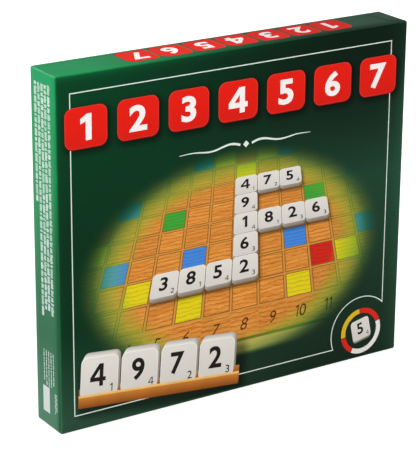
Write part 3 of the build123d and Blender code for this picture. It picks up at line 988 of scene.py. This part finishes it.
def small_print(sheet, random, start, along, up, length, tall, inks, letter=0.42):
    """A line of short bars of uneven height that stands where small print goes: a word is a run of
    bars, and a gap after it. Along and up are directions, and letter is the step from bar to bar as
    a share of the line's height."""
    start, along, up = (np.asarray(values, float) for values in (start, along, up))
    reach = 0.0
    while reach < length:
        bars = random.integers(2, 9)
        ink = mix(*inks, random.uniform(0, 0.45))
        for bar in range(bars):
            high = up * tall * random.choice(BAR_HEIGHTS)
            low = start + along * (reach + bar * tall * letter)
            wide = along * tall * letter * BAR_WIDTH
            sheet.add([low, low + wide, low + wide + high, low + high], [(0, 1, 2, 3)], ink, 1)
        reach += (bars + WORD_GAP) * letter * tall


def text_block(sheet, random, corner, *, lines, step, full, short, every, tall, inks):
    """Lines of small print below each other, in millimetres: one in every few is shorter."""
    for line in range(lines):
        reach = short if line % every == every - 1 else full
        start = np.array([corner[0], corner[1] - step * line]) * MM
        small_print(sheet, random, start, (1, 0), (0, 1), reach * MM, tall * MM, inks)


def picture_tile(sheet, place, thickness, number, layer):
    """A printed picture of a thick tile. A strip of its side is seen where foot edge and rise turn
    anticlockwise; it is lighter the more it faces up and left, and darker at the foot. The pale face
    and the strips meet without overlap, and a large and a small number lie on the face."""
    outline = rounded_outline(1, 1, 0.15)
    foot, head = place(outline, 0.0), place(outline, thickness)
    after = np.roll(np.arange(len(outline)), -1)
    edge, rise = foot[after] - foot, head - foot
    seen = np.flatnonzero(edge[:, 0] * rise[:, 1] - edge[:, 1] * rise[:, 0] > 0)
    if len(seen):
        outward = np.stack([edge[:, 1], -edge[:, 0]], 1) / np.linalg.norm(edge, axis=1, keepdims=True)
        lit = 0.5 + outward @ (-0.3, 0.4)
        upper = mix(srgb("#988C7F"), srgb("#F0ECE4"), (lit + np.roll(lit, 1)) / 2)
        faces = faces_of(seen, after[seen], after[seen] + len(foot), seen + len(foot))
        sheet.add(np.concatenate([foot, head]), faces, np.concatenate([upper * 0.78, upper]), layer)

    def shade(points, colours):
        low, high = points.min(0), points.max(0)
        return mix(colours * 0.94, colours, (points[:, 1] - low[1]) / (high[1] - low[1]))

    pale = to_srgb(bpy.context.scene.game_box.pale_ink)
    sheet.plate(head, pale, layer, rim=mix(pale, 1, 0.6), rim_width=0.05, shade=shade)
    forms = [(0.56, (-0.04, 0.04), 0.025), (0.20, (0.33, -0.31), 0.008)]
    sheet.tile_numbers(number, lambda p: place(p, thickness), forms, srgb("#1E1A1A"), layer + 1)


def red_tile(sheet, middle, size, number, layer, tone=1.0):
    """A flat red tile that darkens towards its lower edge, and a pale number; tone darkens both as
    painted shade.
    """

    def shade(points, colours):
        up = (points[:, 1] - middle[1]) / size[1]
        return colours * (1 - 0.07 * smooth(0.35, -0.9, up))[:, None]

    red = to_srgb(bpy.context.scene.game_box.red_ink) * tone
    face = rounded_outline(*size, 0.2 * size[1], middle=middle)
    sheet.plate(face + np.array([0.35, -0.6]) * MM, red * 0.5, layer)
    sheet.plate(face, red, layer + 1, rim=mix(red, 1, 0.14), rim_width=0.05, shade=shade)
    pale = srgb("#F1EBE8") * tone
    sheet.number(str(number), lambda p: middle + p * (0.74, 0.64) * size[1], pale, layer + 2, 0.032)


def red_row(sheet, middles, size, layer):
    """Red tiles at the given middles, numbered from 1."""
    for number, middle in enumerate(middles, 1):
        red_tile(sheet, middle, size, number, layer)


# Settings that a user may change


def number_setting(name, description, default, **more):
    """A number; more gives its unit, subtype or least value."""
    return bpy.props.FloatProperty(
        name=name, description=description, default=default, precision=5, **more
    )


def length_setting(name, description, default):
    """A length in metres."""
    return number_setting(name, description, default, unit="LENGTH", min=0)


def angle_setting(name, description, degrees):
    """An angle, kept in radians."""
    return number_setting(name, description, math.radians(degrees), subtype="ANGLE")


def colour_setting(name, description, text):
    """A colour, whose default is a hex colour."""
    return bpy.props.FloatVectorProperty(
        name=name, description=description, default=linear(text)[:3], subtype="COLOR", min=0, max=1
    )


class BoxSettings(bpy.types.PropertyGroup):
    """Sizes and colours of the printed box."""

    fold_radius: length_setting("Fold radius", "Radius of the paper's folds", FOLD_RADIUS)
    turn_in: length_setting("Turn-in", "How far the paper runs back inside the rim", 14 * MM)
    frame_line: length_setting("Frame line", "Width of the line round the front", 0.75 * MM)
    line_ink: colour_setting("Line ink", "Ink of the frame line and the flourish", "#D9E4D8")
    red_ink: colour_setting("Red tiles", "Ink of the red tiles", "#DE1B0F")
    pale_ink: colour_setting("Pale tiles", "Ink of the pale tiles", "#DEDAD2")


class PieceSettings(bpy.types.PropertyGroup):
    """Colours of what the box holds."""

    tray: colour_setting("Tray", "Colour of the formed tray", "#1D4A33")
    rack: colour_setting("Racks", "Colour of the moulded racks", "#1E6B43")
    tile: colour_setting("Tiles", "Colour of the moulded tiles", "#E6DFCF")
    tile_ink: colour_setting("Tile numbers", "Ink of the numbers on the tiles", "#1E1A1A")


class StageSettings(bpy.types.PropertyGroup):
    """The camera's place and the studio's light."""

    azimuth: angle_setting("Azimuth", "Camera's turn round the box", -32.965)
    elevation: angle_setting("Elevation", "Camera's angle above the floor", 19.696)
    roll: angle_setting("Roll", "Camera's turn about its own axis", 0.413)
    lens: number_setting("Lens", "Focal length", 2073.3, subtype="PIXEL", min=1)
    sky: number_setting("Sky", "Strength of the even studio light", 0.56, min=0)


# Where the camera is from the middle of the front, along its own right, up and back directions and in
# heights of the box, the photograph's height in pixels, and the sensor's in millimetres
CAMERA_PLACE = Vector((-0.0778, -0.004, 5.7123))
PHOTO_HEIGHT = 450
SENSOR = 36

# Place, width and power of each lamp, and the point that all are turned to
LAMPS = {
    "key": ((-0.5, -1.5, 1.1), 1.1, 20.0),
    "left": ((-1.6, 0.0, 0.9), 1.0, 10.5),
    "back": ((-0.6, 1.7, 1.2), 1.2, 16.0),
    "right": ((1.8, 0.2, 1.2), 1.0, 9.0),
}
LAMP_AIM = Vector((0, 0, 0.13))
FLOOR_REACH = 4.0


class GAME_OT_stage(bpy.types.Operator):
    """Camera, lamps, even light and pale floor"""

    bl_idname = "game.stage"
    bl_label = "Stage"

    def execute(self, context):
        s = context.scene.game_stage
        context.scene.view_settings.view_transform = "Standard"
        self.camera(context, s)
        for name, (place, size, power) in LAMPS.items():
            self.lamp(name, Vector(place), size, power)
        self.world(context, s.sky)
        self.floor()
        return {"FINISHED"}

    def camera(self, context, s):
        """A camera turned by azimuth and elevation, and rolled about its own axis."""
        az, el, roll = s.azimuth, s.elevation, s.roll
        back = Vector((math.sin(az) * math.cos(el), -math.cos(az) * math.cos(el), math.sin(el)))
        level = Vector((0, 0, 1)).cross(back).normalized()
        upright = back.cross(level)
        right = level * math.cos(roll) + upright * math.sin(roll)
        up = upright * math.cos(roll) - level * math.sin(roll)
        turn = Matrix((right, up, back)).transposed()
        data = bpy.data.cameras.new("camera")
        data.sensor_width = SENSOR
        data.lens = s.lens * SENSOR / PHOTO_HEIGHT
        data.clip_start = 0.01
        camera = new_object("camera", data)
        place = Vector((0, FRONT, HEIGHT / 2)) + turn @ CAMERA_PLACE * HEIGHT
        camera.matrix_world = Matrix.Translation(place) @ turn.to_4x4()
        context.scene.camera = camera

    def lamp(self, name, place, size, power):
        """A round soft lamp."""
        data = bpy.data.lights.new(name, "AREA")
        data.shape = "DISK"
        data.size = size
        data.energy = power
        lamp = new_object(name, data)
        lamp.location = place
        lamp.rotation_euler = (LAMP_AIM - place).to_track_quat("-Z", "Y").to_euler()

    def world(self, context, sky):
        """White to the camera, and to everything else a grey sky that brightens from the horizon up,
        as under a large overhead softbox."""
        world = bpy.data.worlds.new("studio")
        world.use_nodes = True
        tree = world.node_tree
        tree.nodes.clear()
        direction = add(tree, "SeparateXYZ", (add(tree, "TexCoord"),), out=2)
        softbox = add(tree, "MapRange", {0: direction, 1: 0.1, 2: 0.85, 3: 0.2 * sky, 4: 1.35 * sky})
        seen = add(tree, "LightPath", out="Is Camera Ray")
        strength = add(tree, "Mix", {0: seen, 2: softbox, 3: 1.0})
        light = add(tree, "Background", {0: (1, 1, 1, 1), 1: strength})
        output = tree.nodes.new("ShaderNodeOutputWorld")
        tree.links.new(light, output.inputs[0])
        context.scene.world = world

    def floor(self):
        """A wide pale sheet; to the camera it adds a little white of its own, so it meets the
        background without a line and still shows the box's shadow."""
        corners = np.array([(-1, -1, 0), (1, -1, 0), (1, 1, 0), (-1, 1, 0)]) * FLOOR_REACH
        mesh = new_mesh("floor", corners, [(0, 1, 2, 3)])
        inks = {"Base_Color": (0.6, 0.6, 0.6, 1), "Emission_Color": (1, 1, 1, 1)}
        material, tree, shader = surface("floor_matt_white_card", Roughness=0.9, **inks)
        seen = add(tree, "LightPath", out="Is Camera Ray")
        attach(tree, shader, Emission_Strength=add(tree, "MapRange", {0: seen, 3: 0.0, 4: 0.62}))
        mesh.materials.append(material)
        new_object("floor", mesh)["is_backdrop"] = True


class GAME_OT_lid(bpy.types.Operator):
    """The lid's printed paper and greyboard"""

    bl_idname = "game.lid"
    bl_label = "Lid"

    def execute(self, context):
        s = context.scene.game_box
        points, faces = paper_shell(LID_LOW, LID_HIGH, s.fold_radius, s.turn_in, 6 * MM)
        papered_half("lid", "laminated_art_paper_green", points, faces, lid_ink(points))
        return {"FINISHED"}


class GAME_OT_front_print(bpy.types.Operator):
    """The picture, tiles and lines printed on the lid's front"""

    bl_idname = "game.front_print"
    bl_label = "Front print"

    def execute(self, context):
        self.picture()
        sheet = Print(ON_FRONT)
        s = context.scene.game_box
        self.frame_line(sheet, s)
        self.flourish(sheet, s)
        self.badge(sheet)
        self.border_numbers(sheet)
        for column, row, number in BOARD_TILES:
            self.board_tile(sheet, column, row, number, RACK_LAYER - 2 * row)
        self.rack(sheet, RACK_LAYER)
        red_row(sheet, RED_ROW, RED_SIZE, 4)
        sheet.make("lid_front_ink", "lid", "lid_print", ink_paper())
        return {"FINISHED"}

    def picture(self):
        """A fine grid over the front with its ink, board place and shadow at each point."""
        name = "lid_front_picture"
        margin, step = 2.2 * MM, 1.7 * MM
        xs = np.linspace(LID_LOW[0] + margin, LID_HIGH[0] - margin, int(WIDTH / step))
        zs = np.linspace(margin, HEIGHT - margin, int(HEIGHT / step))
        x, z = (values.ravel() for values in np.meshgrid(xs, zs))
        points = ON_FRONT(np.stack([x, z], 1), INK_STEP)
        uv = np.stack(front_to_board(x, z), 1)
        faces = grid_faces(len(zs), len(xs))
        mesh = new_mesh(name, points, faces, front_green(x, z), uv, board_shown(x, z))
        light = printed_shadow(x, z)
        store(mesh, "shadow", np.stack([light, light, light], 1))
        paper = laminated_paper("laminated_art_paper_picture", picture_colour)
        solidify(link(name, mesh, "lid", paper), INK_THICKNESS)

    def frame_line(self, sheet, s):
        """A thin pale line round the front, with a round notch at the lower right for the badge."""
        left, right, low, high = -138.6 * MM, 135.4 * MM, 12.0 * MM, 251.6 * MM
        first = math.acos((right - BADGE[0]) / NOTCH_RADIUS)
        last = math.pi + math.asin((BADGE[1] - low) / NOTCH_RADIUS)
        arc = circle(BADGE, NOTCH_RADIUS, np.linspace(last, first, 40))
        path = [(left, low), *arc, (right, high), (left, high)]
        sheet.ribbon(path, s.frame_line, to_srgb(s.line_ink), 2, closed=True)

    def flourish(self, sheet, s):
        """A pale wavy rule that thins to its ends, 52 mm long on each side of a small lozenge."""
        colour = to_srgb(s.line_ink)
        t = np.linspace(0, 1, 60)
        rise = 2.2 * np.sin(t * 9.0) * (1 - t)
        for side in (-1, 1):
            path = np.stack([side * (5 + 52 * t), rise], 1) * MM + FLOURISH
            sheet.ribbon(path, (1.5 * (1 - t) ** 0.7 + 0.25) * MM, colour, 2)
        lozenge = np.array([(2.6, 0), (0, 2.6), (-2.6, 0), (0, -2.6)]) * MM + FLOURISH
        sheet.plate(lozenge, colour, 3)

    def badge(self, sheet):
        """A plain ring of red and yellow arcs round a pale numbered tile."""
        bounds = np.radians([20, 95, 190, 240, 380])
        for start, end, ink in zip(bounds[:-1], bounds[1:], ("#D4261A", "#D9B21C", "#D4261A", "#E8E4DA")):
            arc = circle(BADGE, 16.8 * MM, np.linspace(start + 0.02, end - 0.02, 24))
            sheet.ribbon(arc, 4.0 * MM, srgb(ink), 2)
        turn = math.radians(12)
        axes = np.array([(math.cos(turn), math.sin(turn)), (-math.sin(turn), math.cos(turn))])

        def place(points, height):
            return BADGE + points @ axes * 17 * MM + np.array([0.0, height]) * MM

        picture_tile(sheet, place, 1.6, 5, 3)

    def border_numbers(self, sheet):
        """Numbers along the pictured board's near border."""
        for column in range(14):
            x, z = board_to_front(column + 0.5, -0.5)[:, None]
            shown = float(board_shown(x, z)[0])
            if shown < 0.12:
                continue
            colour = mix(front_green(x, z)[0], srgb("#54310F"), min(1, shown * 1.2))

            def place(points, column=column):
                u = column + 0.5 + points[:, 0] * 0.36 + points[:, 1] * 0.10
                return board_to_front(u, -0.52 + points[:, 1] * 0.42)

            sheet.number(str(column + 1), place, colour, 3, 0.0)

    def board_tile(self, sheet, column, row, number, layer):
        """A pale tile on a cell of the pictured board."""

        def place(points, height):
            u, v = column + 0.5 + points[:, 0] * 0.97, row + 0.5 + points[:, 1] * 0.97
            return board_to_front(u, v, height)

        picture_tile(sheet, place, 0.15, number, layer)

    def rack(self, sheet, layer):
        """A wooden rack with a dark groove and a bright lip, and pale tiles that stand in it."""
        # Foot and head of each bar, its ink at both, and its layer: the groove, the foot and the lip
        bars = [
            (RACK_LIP - 4, RACK_LIP + 5, "#6B3A12", "#B9762F", layer),
            (0, RACK_LIP - 2, "#8A4716", "#C27A30", layer + 3),
            (RACK_LIP - 2, RACK_LIP, "#E3AC5C", "#F0C57C", layer + 3),
        ]
        along = np.linspace(0, RACK_LENGTH, 24)
        for low, high, foot, head, own_layer in bars:
            points = np.concatenate([rack_place(along, np.full(24, up)) for up in (low, high)])
            uneven = 1 + 0.05 * ripple(points[:, 0] * 9, 0)
            inks = np.repeat([srgb(foot), srgb(head)], 24, 0) * uneven[:, None]
            sheet.add(points, grid_faces(2, 24), inks, own_layer)
        for order, number in enumerate(RACK_NUMBERS):
            middle = np.array([18.5 + RACK_STEP * order, RACK_LIP + 1.2 + RACK_TILE / 2])

            def place(points, height, middle=middle):
                return rack_place(*((points + np.array([-0.3, -0.6]) * height) * RACK_TILE + middle).T)

            picture_tile(sheet, place, 0.2, number, layer + 1)


# Small print down the left end, by column: where it starts as a share of the depth and in height, its
# length and its letters' height, in millimetres, and the step between letters as a share of their height
END_COLUMNS = [
    (0.68, 257, 167, 3.7, 0.24),
    (0.54, 256, 164, 3.7, 0.24),
    (0.41, 256, 166, 3.7, 0.24),
    (0.27, 256, 165, 3.7, 0.24),
    (0.13, 256, 84, 3.7, 0.24),
    *((0.30 + 0.10 * i, 59, reach, 1.4, 0.42) for i, reach in enumerate((21, 24, 28, 27, 24))),
    (0.82, 29, 11, 1.2, 0.42),
    (0.76, 29, 16, 1.2, 0.42),
]


class GAME_OT_side_print(bpy.types.Operator):
    """What is printed on the lid's ends and top"""

    bl_idname = "game.side_print"
    bl_label = "Side print"

    def execute(self, context):
        self.top()
        self.left_end()
        self.right_end()
        return {"FINISHED"}

    def top(self):
        """A row of numbered red tiles that darken to the right under painted shade, and painted shade of
        the ridge from the end's glued tab.
        """
        top = Print(ON_TOP)
        left, right = -105 * MM, 87 * MM
        size = np.array([(right - left) / RED_TILES * 0.94, DEPTH * 0.76])
        for order, x in enumerate(np.linspace(left + size[0] / 2, right - size[0] / 2, RED_TILES)):
            middle = np.array([x, DEPTH * 0.07 + size[1] / 2])
            shadow = middle + np.array([0.5, 0.7]) * MM
            top.plate(rounded_outline(*size, 0.2 * size[1], middle=shadow), srgb("#12301F"), 1)
            # Painted shade: the tiles darken to the right, with the top's painted sheen
            tone = 1 - 0.11 * smooth(50 * MM, -90 * MM, x)
            red_tile(top, middle, size, order + 1, 2, tone)
        self.tab_edge(top)
        top.make("lid_top_ink", "lid", "lid_print", ink_paper())

    def tab_edge(self, top):
        """Painted shade of the ridge that the edge of the end's glued tab raises in the top's paper near
        the
            right corner, a soft darker line: straight from the back edge, then a quarter of an ellipse to
                the end."""
        turn = np.linspace(0, math.pi / 2, 24)
        bend = np.stack([13.6 * np.cos(turn), 19 + 12 * np.sin(turn)], 1)
        from_corner = np.concatenate([[(16, 1), (14.2, 10)], bend]) * MM
        path = from_corner - (WIDTH / 2, 0)
        fade = np.sin(np.linspace(0.25, 2.9, len(path)))
        # Darker inks towards the middle of the line keep the painted shade soft at its sides
        for order, ink in enumerate(("#203E2E", "#1A3527", "#122B1E", "#0A2117")):
            top.ribbon(path, (3.2 - 0.75 * order) * MM * fade, srgb(ink), 1 + order)

    def left_end(self):
        """Small print that runs down the left end, and a bare white label patch."""
        random = np.random.default_rng(7)
        end = Print(ON_LEFT)
        inks = (srgb("#D8E4DE"), srgb("#8FBAA3"))
        for share, top, reach, tall, letter in END_COLUMNS:
            start = (DEPTH * share, top * MM)
            small_print(end, random, start, (0, -1), (1, 0), reach * MM, tall * MM, inks, letter)
        middle = (DEPTH - 20.8 * MM, 20.5 * MM)
        patch = rounded_outline(9.5 * MM, 20 * MM, 0.4 * MM, middle=middle)
        end.plate(patch, srgb("#CFD6D4"), 1)
        end.make("lid_left_end_ink", "lid", "lid_print", ink_paper())

    def right_end(self):
        """Seven numbered red tiles down the right end."""
        end = Print(ON_RIGHT)
        margin = 40 * MM
        middles = np.linspace((DEPTH / 2, HEIGHT - margin), (DEPTH / 2, margin), RED_TILES)
        red_row(end, middles, (21 * MM, 21 * MM), 1)
        end.make("lid_right_end_ink", "lid", "lid_print", ink_paper())


class GAME_OT_base(bpy.types.Operator):
    """The base's printed paper and greyboard"""

    bl_idname = "game.base"
    bl_label = "Base"

    def execute(self, context):
        s = context.scene.game_box
        flip = np.array([1, -1, 1])
        corners = np.array([BASE_LOW, BASE_HIGH]) * flip
        points, faces = paper_shell(corners.min(0), corners.max(0), s.fold_radius, s.turn_in, 8 * MM)
        points = points * flip
        faces = [face[::-1] for face in faces]
        papered_half("base", "laminated_art_paper_base", points, faces, base_ink(points))
        self.back_print()
        return {"FINISHED"}

    def back_print(self):
        """The back of the box: a frame line, a row of numbered red tiles, small print in two columns,
        a pale panel with a grid of coloured cells, and a bare label patch."""
        sheet = Print(ON_BACK)
        random = np.random.default_rng(11)
        inks = (srgb("#D6E6DC"), srgb("#6FB58F"))
        corners = np.array([(-134, 14), (134, 14), (134, 251), (-134, 251)]) * MM
        sheet.ribbon(corners, 0.75 * MM, srgb("#D9E4D8"), 1, closed=True)
        middles = np.linspace((-108, 227), (108, 227), RED_TILES) * MM
        red_row(sheet, middles, (25 * MM, 22.5 * MM), 2)
        block = {"step": 6.4, "full": 112, "tall": 3.0, "inks": inks}
        for left in (-122, 6):
            text_block(sheet, random, (left, 196), lines=11, short=64, every=4, **block)
        self.cells(sheet, np.array([-66, 68]) * MM)
        text_block(sheet, random, (6, 104), lines=8, short=80, every=3, **block)
        patch = rounded_outline(44 * MM, 26 * MM, 1 * MM, middle=np.array([96, 34]) * MM)
        sheet.plate(patch, srgb("#DDE0DC"), 1)
        sheet.make("base_back_ink", "base", "base_paper", ink_paper())

    def cells(self, sheet, middle):
        """A pale panel of ten by seven cells, of which every seventh along the slopes is coloured."""
        panel = rounded_outline(112 * MM, 82 * MM, 2 * MM, middle=middle)
        sheet.plate(panel, srgb("#D9A25C"), 1, rim=srgb("#B97F3C"), rim_width=0.02)
        paints = ("#D2231A", "#E2CF14", "#46A738", "#4284D6")
        for column in range(10):
            for row in range(7):
                centre = middle + np.array([column - 4.5, row - 3]) * 10.6 * MM
                is_painted = (column * 3 + row * 5) % 7 == 0
                paint = paints[(column + row) // 2 % 4] if is_painted else "#E4B06A"
                outline = rounded_outline(10 * MM, 10 * MM, 0.3 * MM, 2, centre)
                sheet.plate(outline, srgb(paint), 2)


class GAME_OT_tray(bpy.types.Operator):
    """The formed tray and the four racks"""

    bl_idname = "game.tray"
    bl_label = "Tray and racks"

    def execute(self, context):
        s = context.scene.game_pieces
        edge = 0.35 * MM
        coarse = {"roughness": 0.42, "grain_mm": 0.9, "depth": 0.08 * MM}
        fine = {"roughness": 0.3, "grain_mm": 0.5, "depth": 0.04 * MM}
        formed = moulded_plastic("vacuum_formed_polystyrene_tray", tuple(s.tray), **coarse)
        moulded = moulded_plastic("injection_moulded_polystyrene_rack", tuple(s.rack), **fine)
        softened("insert_tray", "tray", formed, edge)
        for number in range(1, 5):
            softened(f"rack_{number}", f"rack_{number}", moulded, edge)
        return {"FINISHED"}


class GAME_OT_board(bpy.types.Operator):
    """The folding board and the leaflet"""

    bl_idname = "game.board"
    bl_label = "Board and leaflet"

    def execute(self, context):
        low = BOARD_LOW[2] + BORDER
        lining = embossed_lining("embossed_cover_paper_green", "#12402A")
        core = greyboard("board_greyboard")
        starts = {"rear": (1.0, -low / CELL), "front": (-1.0, (2 * FOLD - low) / CELL)}
        for half, (upward, start) in starts.items():
            face = board_print(f"laminated_art_paper_board_{half}", upward, start)
            recolour(f"board_{half}_face", face)
            recolour(f"board_{half}_lining", lining)
            recolour(f"board_{half}_core", core)
        self.numbers()
        self.leaflet()
        return {"FINISHED"}

    def numbers(self):
        """Column numbers along the two outer borders and row numbers down both sides."""
        rear, front = Print(ON_REAR_HALF), Print(ON_FRONT_HALF)
        brown = srgb("#4A2A0C")
        tall = 4.2 * MM
        low = BOARD_LOW[2]
        middle = CELLS // 2
        outer = ((rear, low + BORDER / 2), (front, 2 * FOLD - low - BORDER / 2))
        for order in range(CELLS):
            along = BORDER + (order + 0.5) * CELL
            places = [(half, BOARD_LOW[0] + along, z) for half, z in outer]
            if order != middle:
                half = rear if order < middle else front
                places += [(half, side * (BOARD_HIGH[0] - BORDER / 2), low + along) for side in (-1, 1)]
            for sheet, x, z in places:
                sheet.number(str(order + 1), lambda p, at=(x, z): p * tall + at, brown, 1, 0.0)
        rear.make("board_rear_ink", "board_rear_half", "board_print", ink_paper())
        front.make("board_front_ink", "board_front_half", "board_print", ink_paper())

    def leaflet(self):
        """The folded leaflet: a green band with three numbered tiles, and small print below."""
        low, high = np.array(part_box("rules_leaflet"))
        recolour("rules_leaflet", leaflet_paper("uncoated_offset_paper"))
        sheet = Print(facing_front(low[1]))
        random = np.random.default_rng(5)
        head = high[2] - 18 * MM
        width = high[0] - low[0] - 12 * MM
        sheet.plate(rounded_outline(width, 22 * MM, 1 * MM, middle=(0, head)), srgb("#1D6B3F"), 1)
        middles = np.linspace((-22 * MM, head), (22 * MM, head), 3)
        red_row(sheet, middles, (16 * MM, 14.5 * MM), 2)
        inks = (srgb("#3A3A38"), srgb("#77756F"))
        block = {"lines": 14, "step": 4.4, "full": 62, "short": 34, "every": 5, "tall": 1.9}
        for left in (-68, 4):
            text_block(sheet, random, (left, high[2] / MM - 38), inks=inks, **block)
        sheet.make("leaflet_ink", "leaflet", "leaflet_paper", plain_ink("offset_ink_on_paper", 0.8))


# A moulded tile from its back to its face: inset in millimetres, and depth as a share of the whole
TILE_PROFILE = [
    (0.9, 1.0),
    (0.35, 1.0),
    (0.1, 0.985),
    (0.0, 0.93),
    (0.0, 0.14),
    (0.12, 0.05),
    (0.42, 0.0),
    (0.85, 0.0),
]

# Its large and its small number: height and middle in millimetres, and boldness
TILE_NUMBERS = [(8.6, (-0.6, 0.5), 0.02), (2.6, (5.2, -5.1), 0.0)]

# Rows of a layer of tiles, and tiles of a row
ROWS = 4
IN_ROW = 13


class GAME_OT_tiles(bpy.types.Operator):
    """The two layers of numbered tiles"""

    bl_idname = "game.tiles"
    bl_label = "Tiles"

    def execute(self, context):
        s = context.scene.game_pieces
        plastic = moulded_tile("injection_moulded_ivory_polystyrene")
        ink = to_srgb(s.tile_ink)
        for nth, layer in enumerate(("front", "rear")):
            body = f"{layer}_tile_layer"
            sheet = Print(facing_front(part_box(f"tiles_{layer}_row_1")[0][1] + DISH))
            for row in range(1, ROWS + 1):
                node = f"tiles_{layer}_row_{row}"
                low, high = np.array(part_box(node))
                side, z = high[2] - low[2], (low[2] + high[2]) / 2
                middles = np.linspace(low[0] + side / 2, high[0] - side / 2, IN_ROW)
                points, faces, inks = self.row(middles, low, high, to_srgb(s.tile), row + ROWS * nth)
                mesh = new_mesh(node + "_moulded", points, faces, inks)
                piece = link(node + "_moulded", mesh, body, plastic, [node])
                shade_smooth(piece, 60)
                for order, x in enumerate(middles):
                    number = 1 + (order * 5 + row * 3 + 2 * nth) % 9
                    sheet.tile_numbers(number, lambda p, at=(x, z): p * MM + at, TILE_NUMBERS, ink, 1)
            pad_ink = plain_ink(f"pad_printed_ink_{layer}", 0.45)
            sheet.make(f"tiles_{layer}_ink", body, "tile_plastic", pad_ink)
        return {"FINISHED"}

    def row(self, middles, low, high, colour, seed):
        """A row of tiles: one outline carried through rings of changing inset and depth, from the flat
        back over rounded edges to a face dished by 0.08 mm, and closed by a point at each end."""
        side, depth = high[2] - low[2], high[1] - low[1]
        outline = rounded_outline(side, side, 2.2 * MM, 5)
        outward = outline / (side / 2)
        profile = [*TILE_PROFILE, (1.25, DISH / depth)]
        rings = []
        for inset, share in profile:
            x, z = (outline - outward * inset * MM).T
            rings.append(at_depth(x, z, low[1] + share * depth))
        tile = np.concatenate([[(0, high[1], 0)], *rings, [(0, low[1] + DISH, 0)]])
        count, last = len(outline), len(tile) - 1
        around = np.arange(count)
        after = (around + 1) % count
        faces = faces_of(0, 1 + after, 1 + around)
        for first in range(1, last - count, count):
            second = first + count
            faces += faces_of(first + around, first + after, second + after, second + around)
        faces += faces_of(last, last - count + around, last - count + after)
        tints = np.random.default_rng(seed).uniform(0.965, 1.0, len(middles))
        z = (low[2] + high[2]) / 2
        points = np.concatenate([tile + (x, 0, z) for x in middles])
        starts = np.arange(len(middles)) * len(tile)
        all_faces = [[index + start for index in face] for start in starts for face in faces]
        return points, all_faces, np.repeat(tints, len(tile))[:, None] * colour


class GAME_PT_panel(bpy.types.Panel):
    """The settings, and a button for each piece"""

    bl_idname = "GAME_PT_panel"
    bl_label = "Board game"
    bl_space_type = "VIEW_3D"
    bl_region_type = "UI"
    bl_category = "Board game"

    def draw(self, context):
        for group in SETTINGS:
            settings = getattr(context.scene, group)
            for name in settings.bl_rna.properties.keys():
                if name not in ("rna_type", "name"):
                    self.layout.prop(settings, name)
        for operator in OPERATORS:
            self.layout.operator(operator.bl_idname)


OPERATORS = [
    GAME_OT_stage,
    GAME_OT_lid,
    GAME_OT_front_print,
    GAME_OT_side_print,
    GAME_OT_base,
    GAME_OT_tray,
    GAME_OT_board,
    GAME_OT_tiles,
]
SETTINGS = {"game_box": BoxSettings, "game_pieces": PieceSettings, "game_stage": StageSettings}
CLASSES = [*SETTINGS.values(), *OPERATORS, GAME_PT_panel]


def register():
    for cls in CLASSES:
        bpy.utils.register_class(cls)
    for name, group in SETTINGS.items():
        setattr(bpy.types.Scene, name, bpy.props.PointerProperty(type=group))


def unregister():
    for name in SETTINGS:
        delattr(bpy.types.Scene, name)
    for cls in reversed(CLASSES):
        bpy.utils.unregister_class(cls)


def plain(box):
    """A box of two corners as plain lists of numbers."""
    return [[float(value) for value in corner] for corner in box]


def main():
    """Makes everything in order."""
    cad_box = plain(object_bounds())
    register()
    for operator in OPERATORS:
        group, name = operator.bl_idname.split(".")
        getattr(getattr(bpy.ops, group), name)()
    {"cad": cad_box, "visual": plain(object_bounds())}


if __name__ == "__main__":
    main()
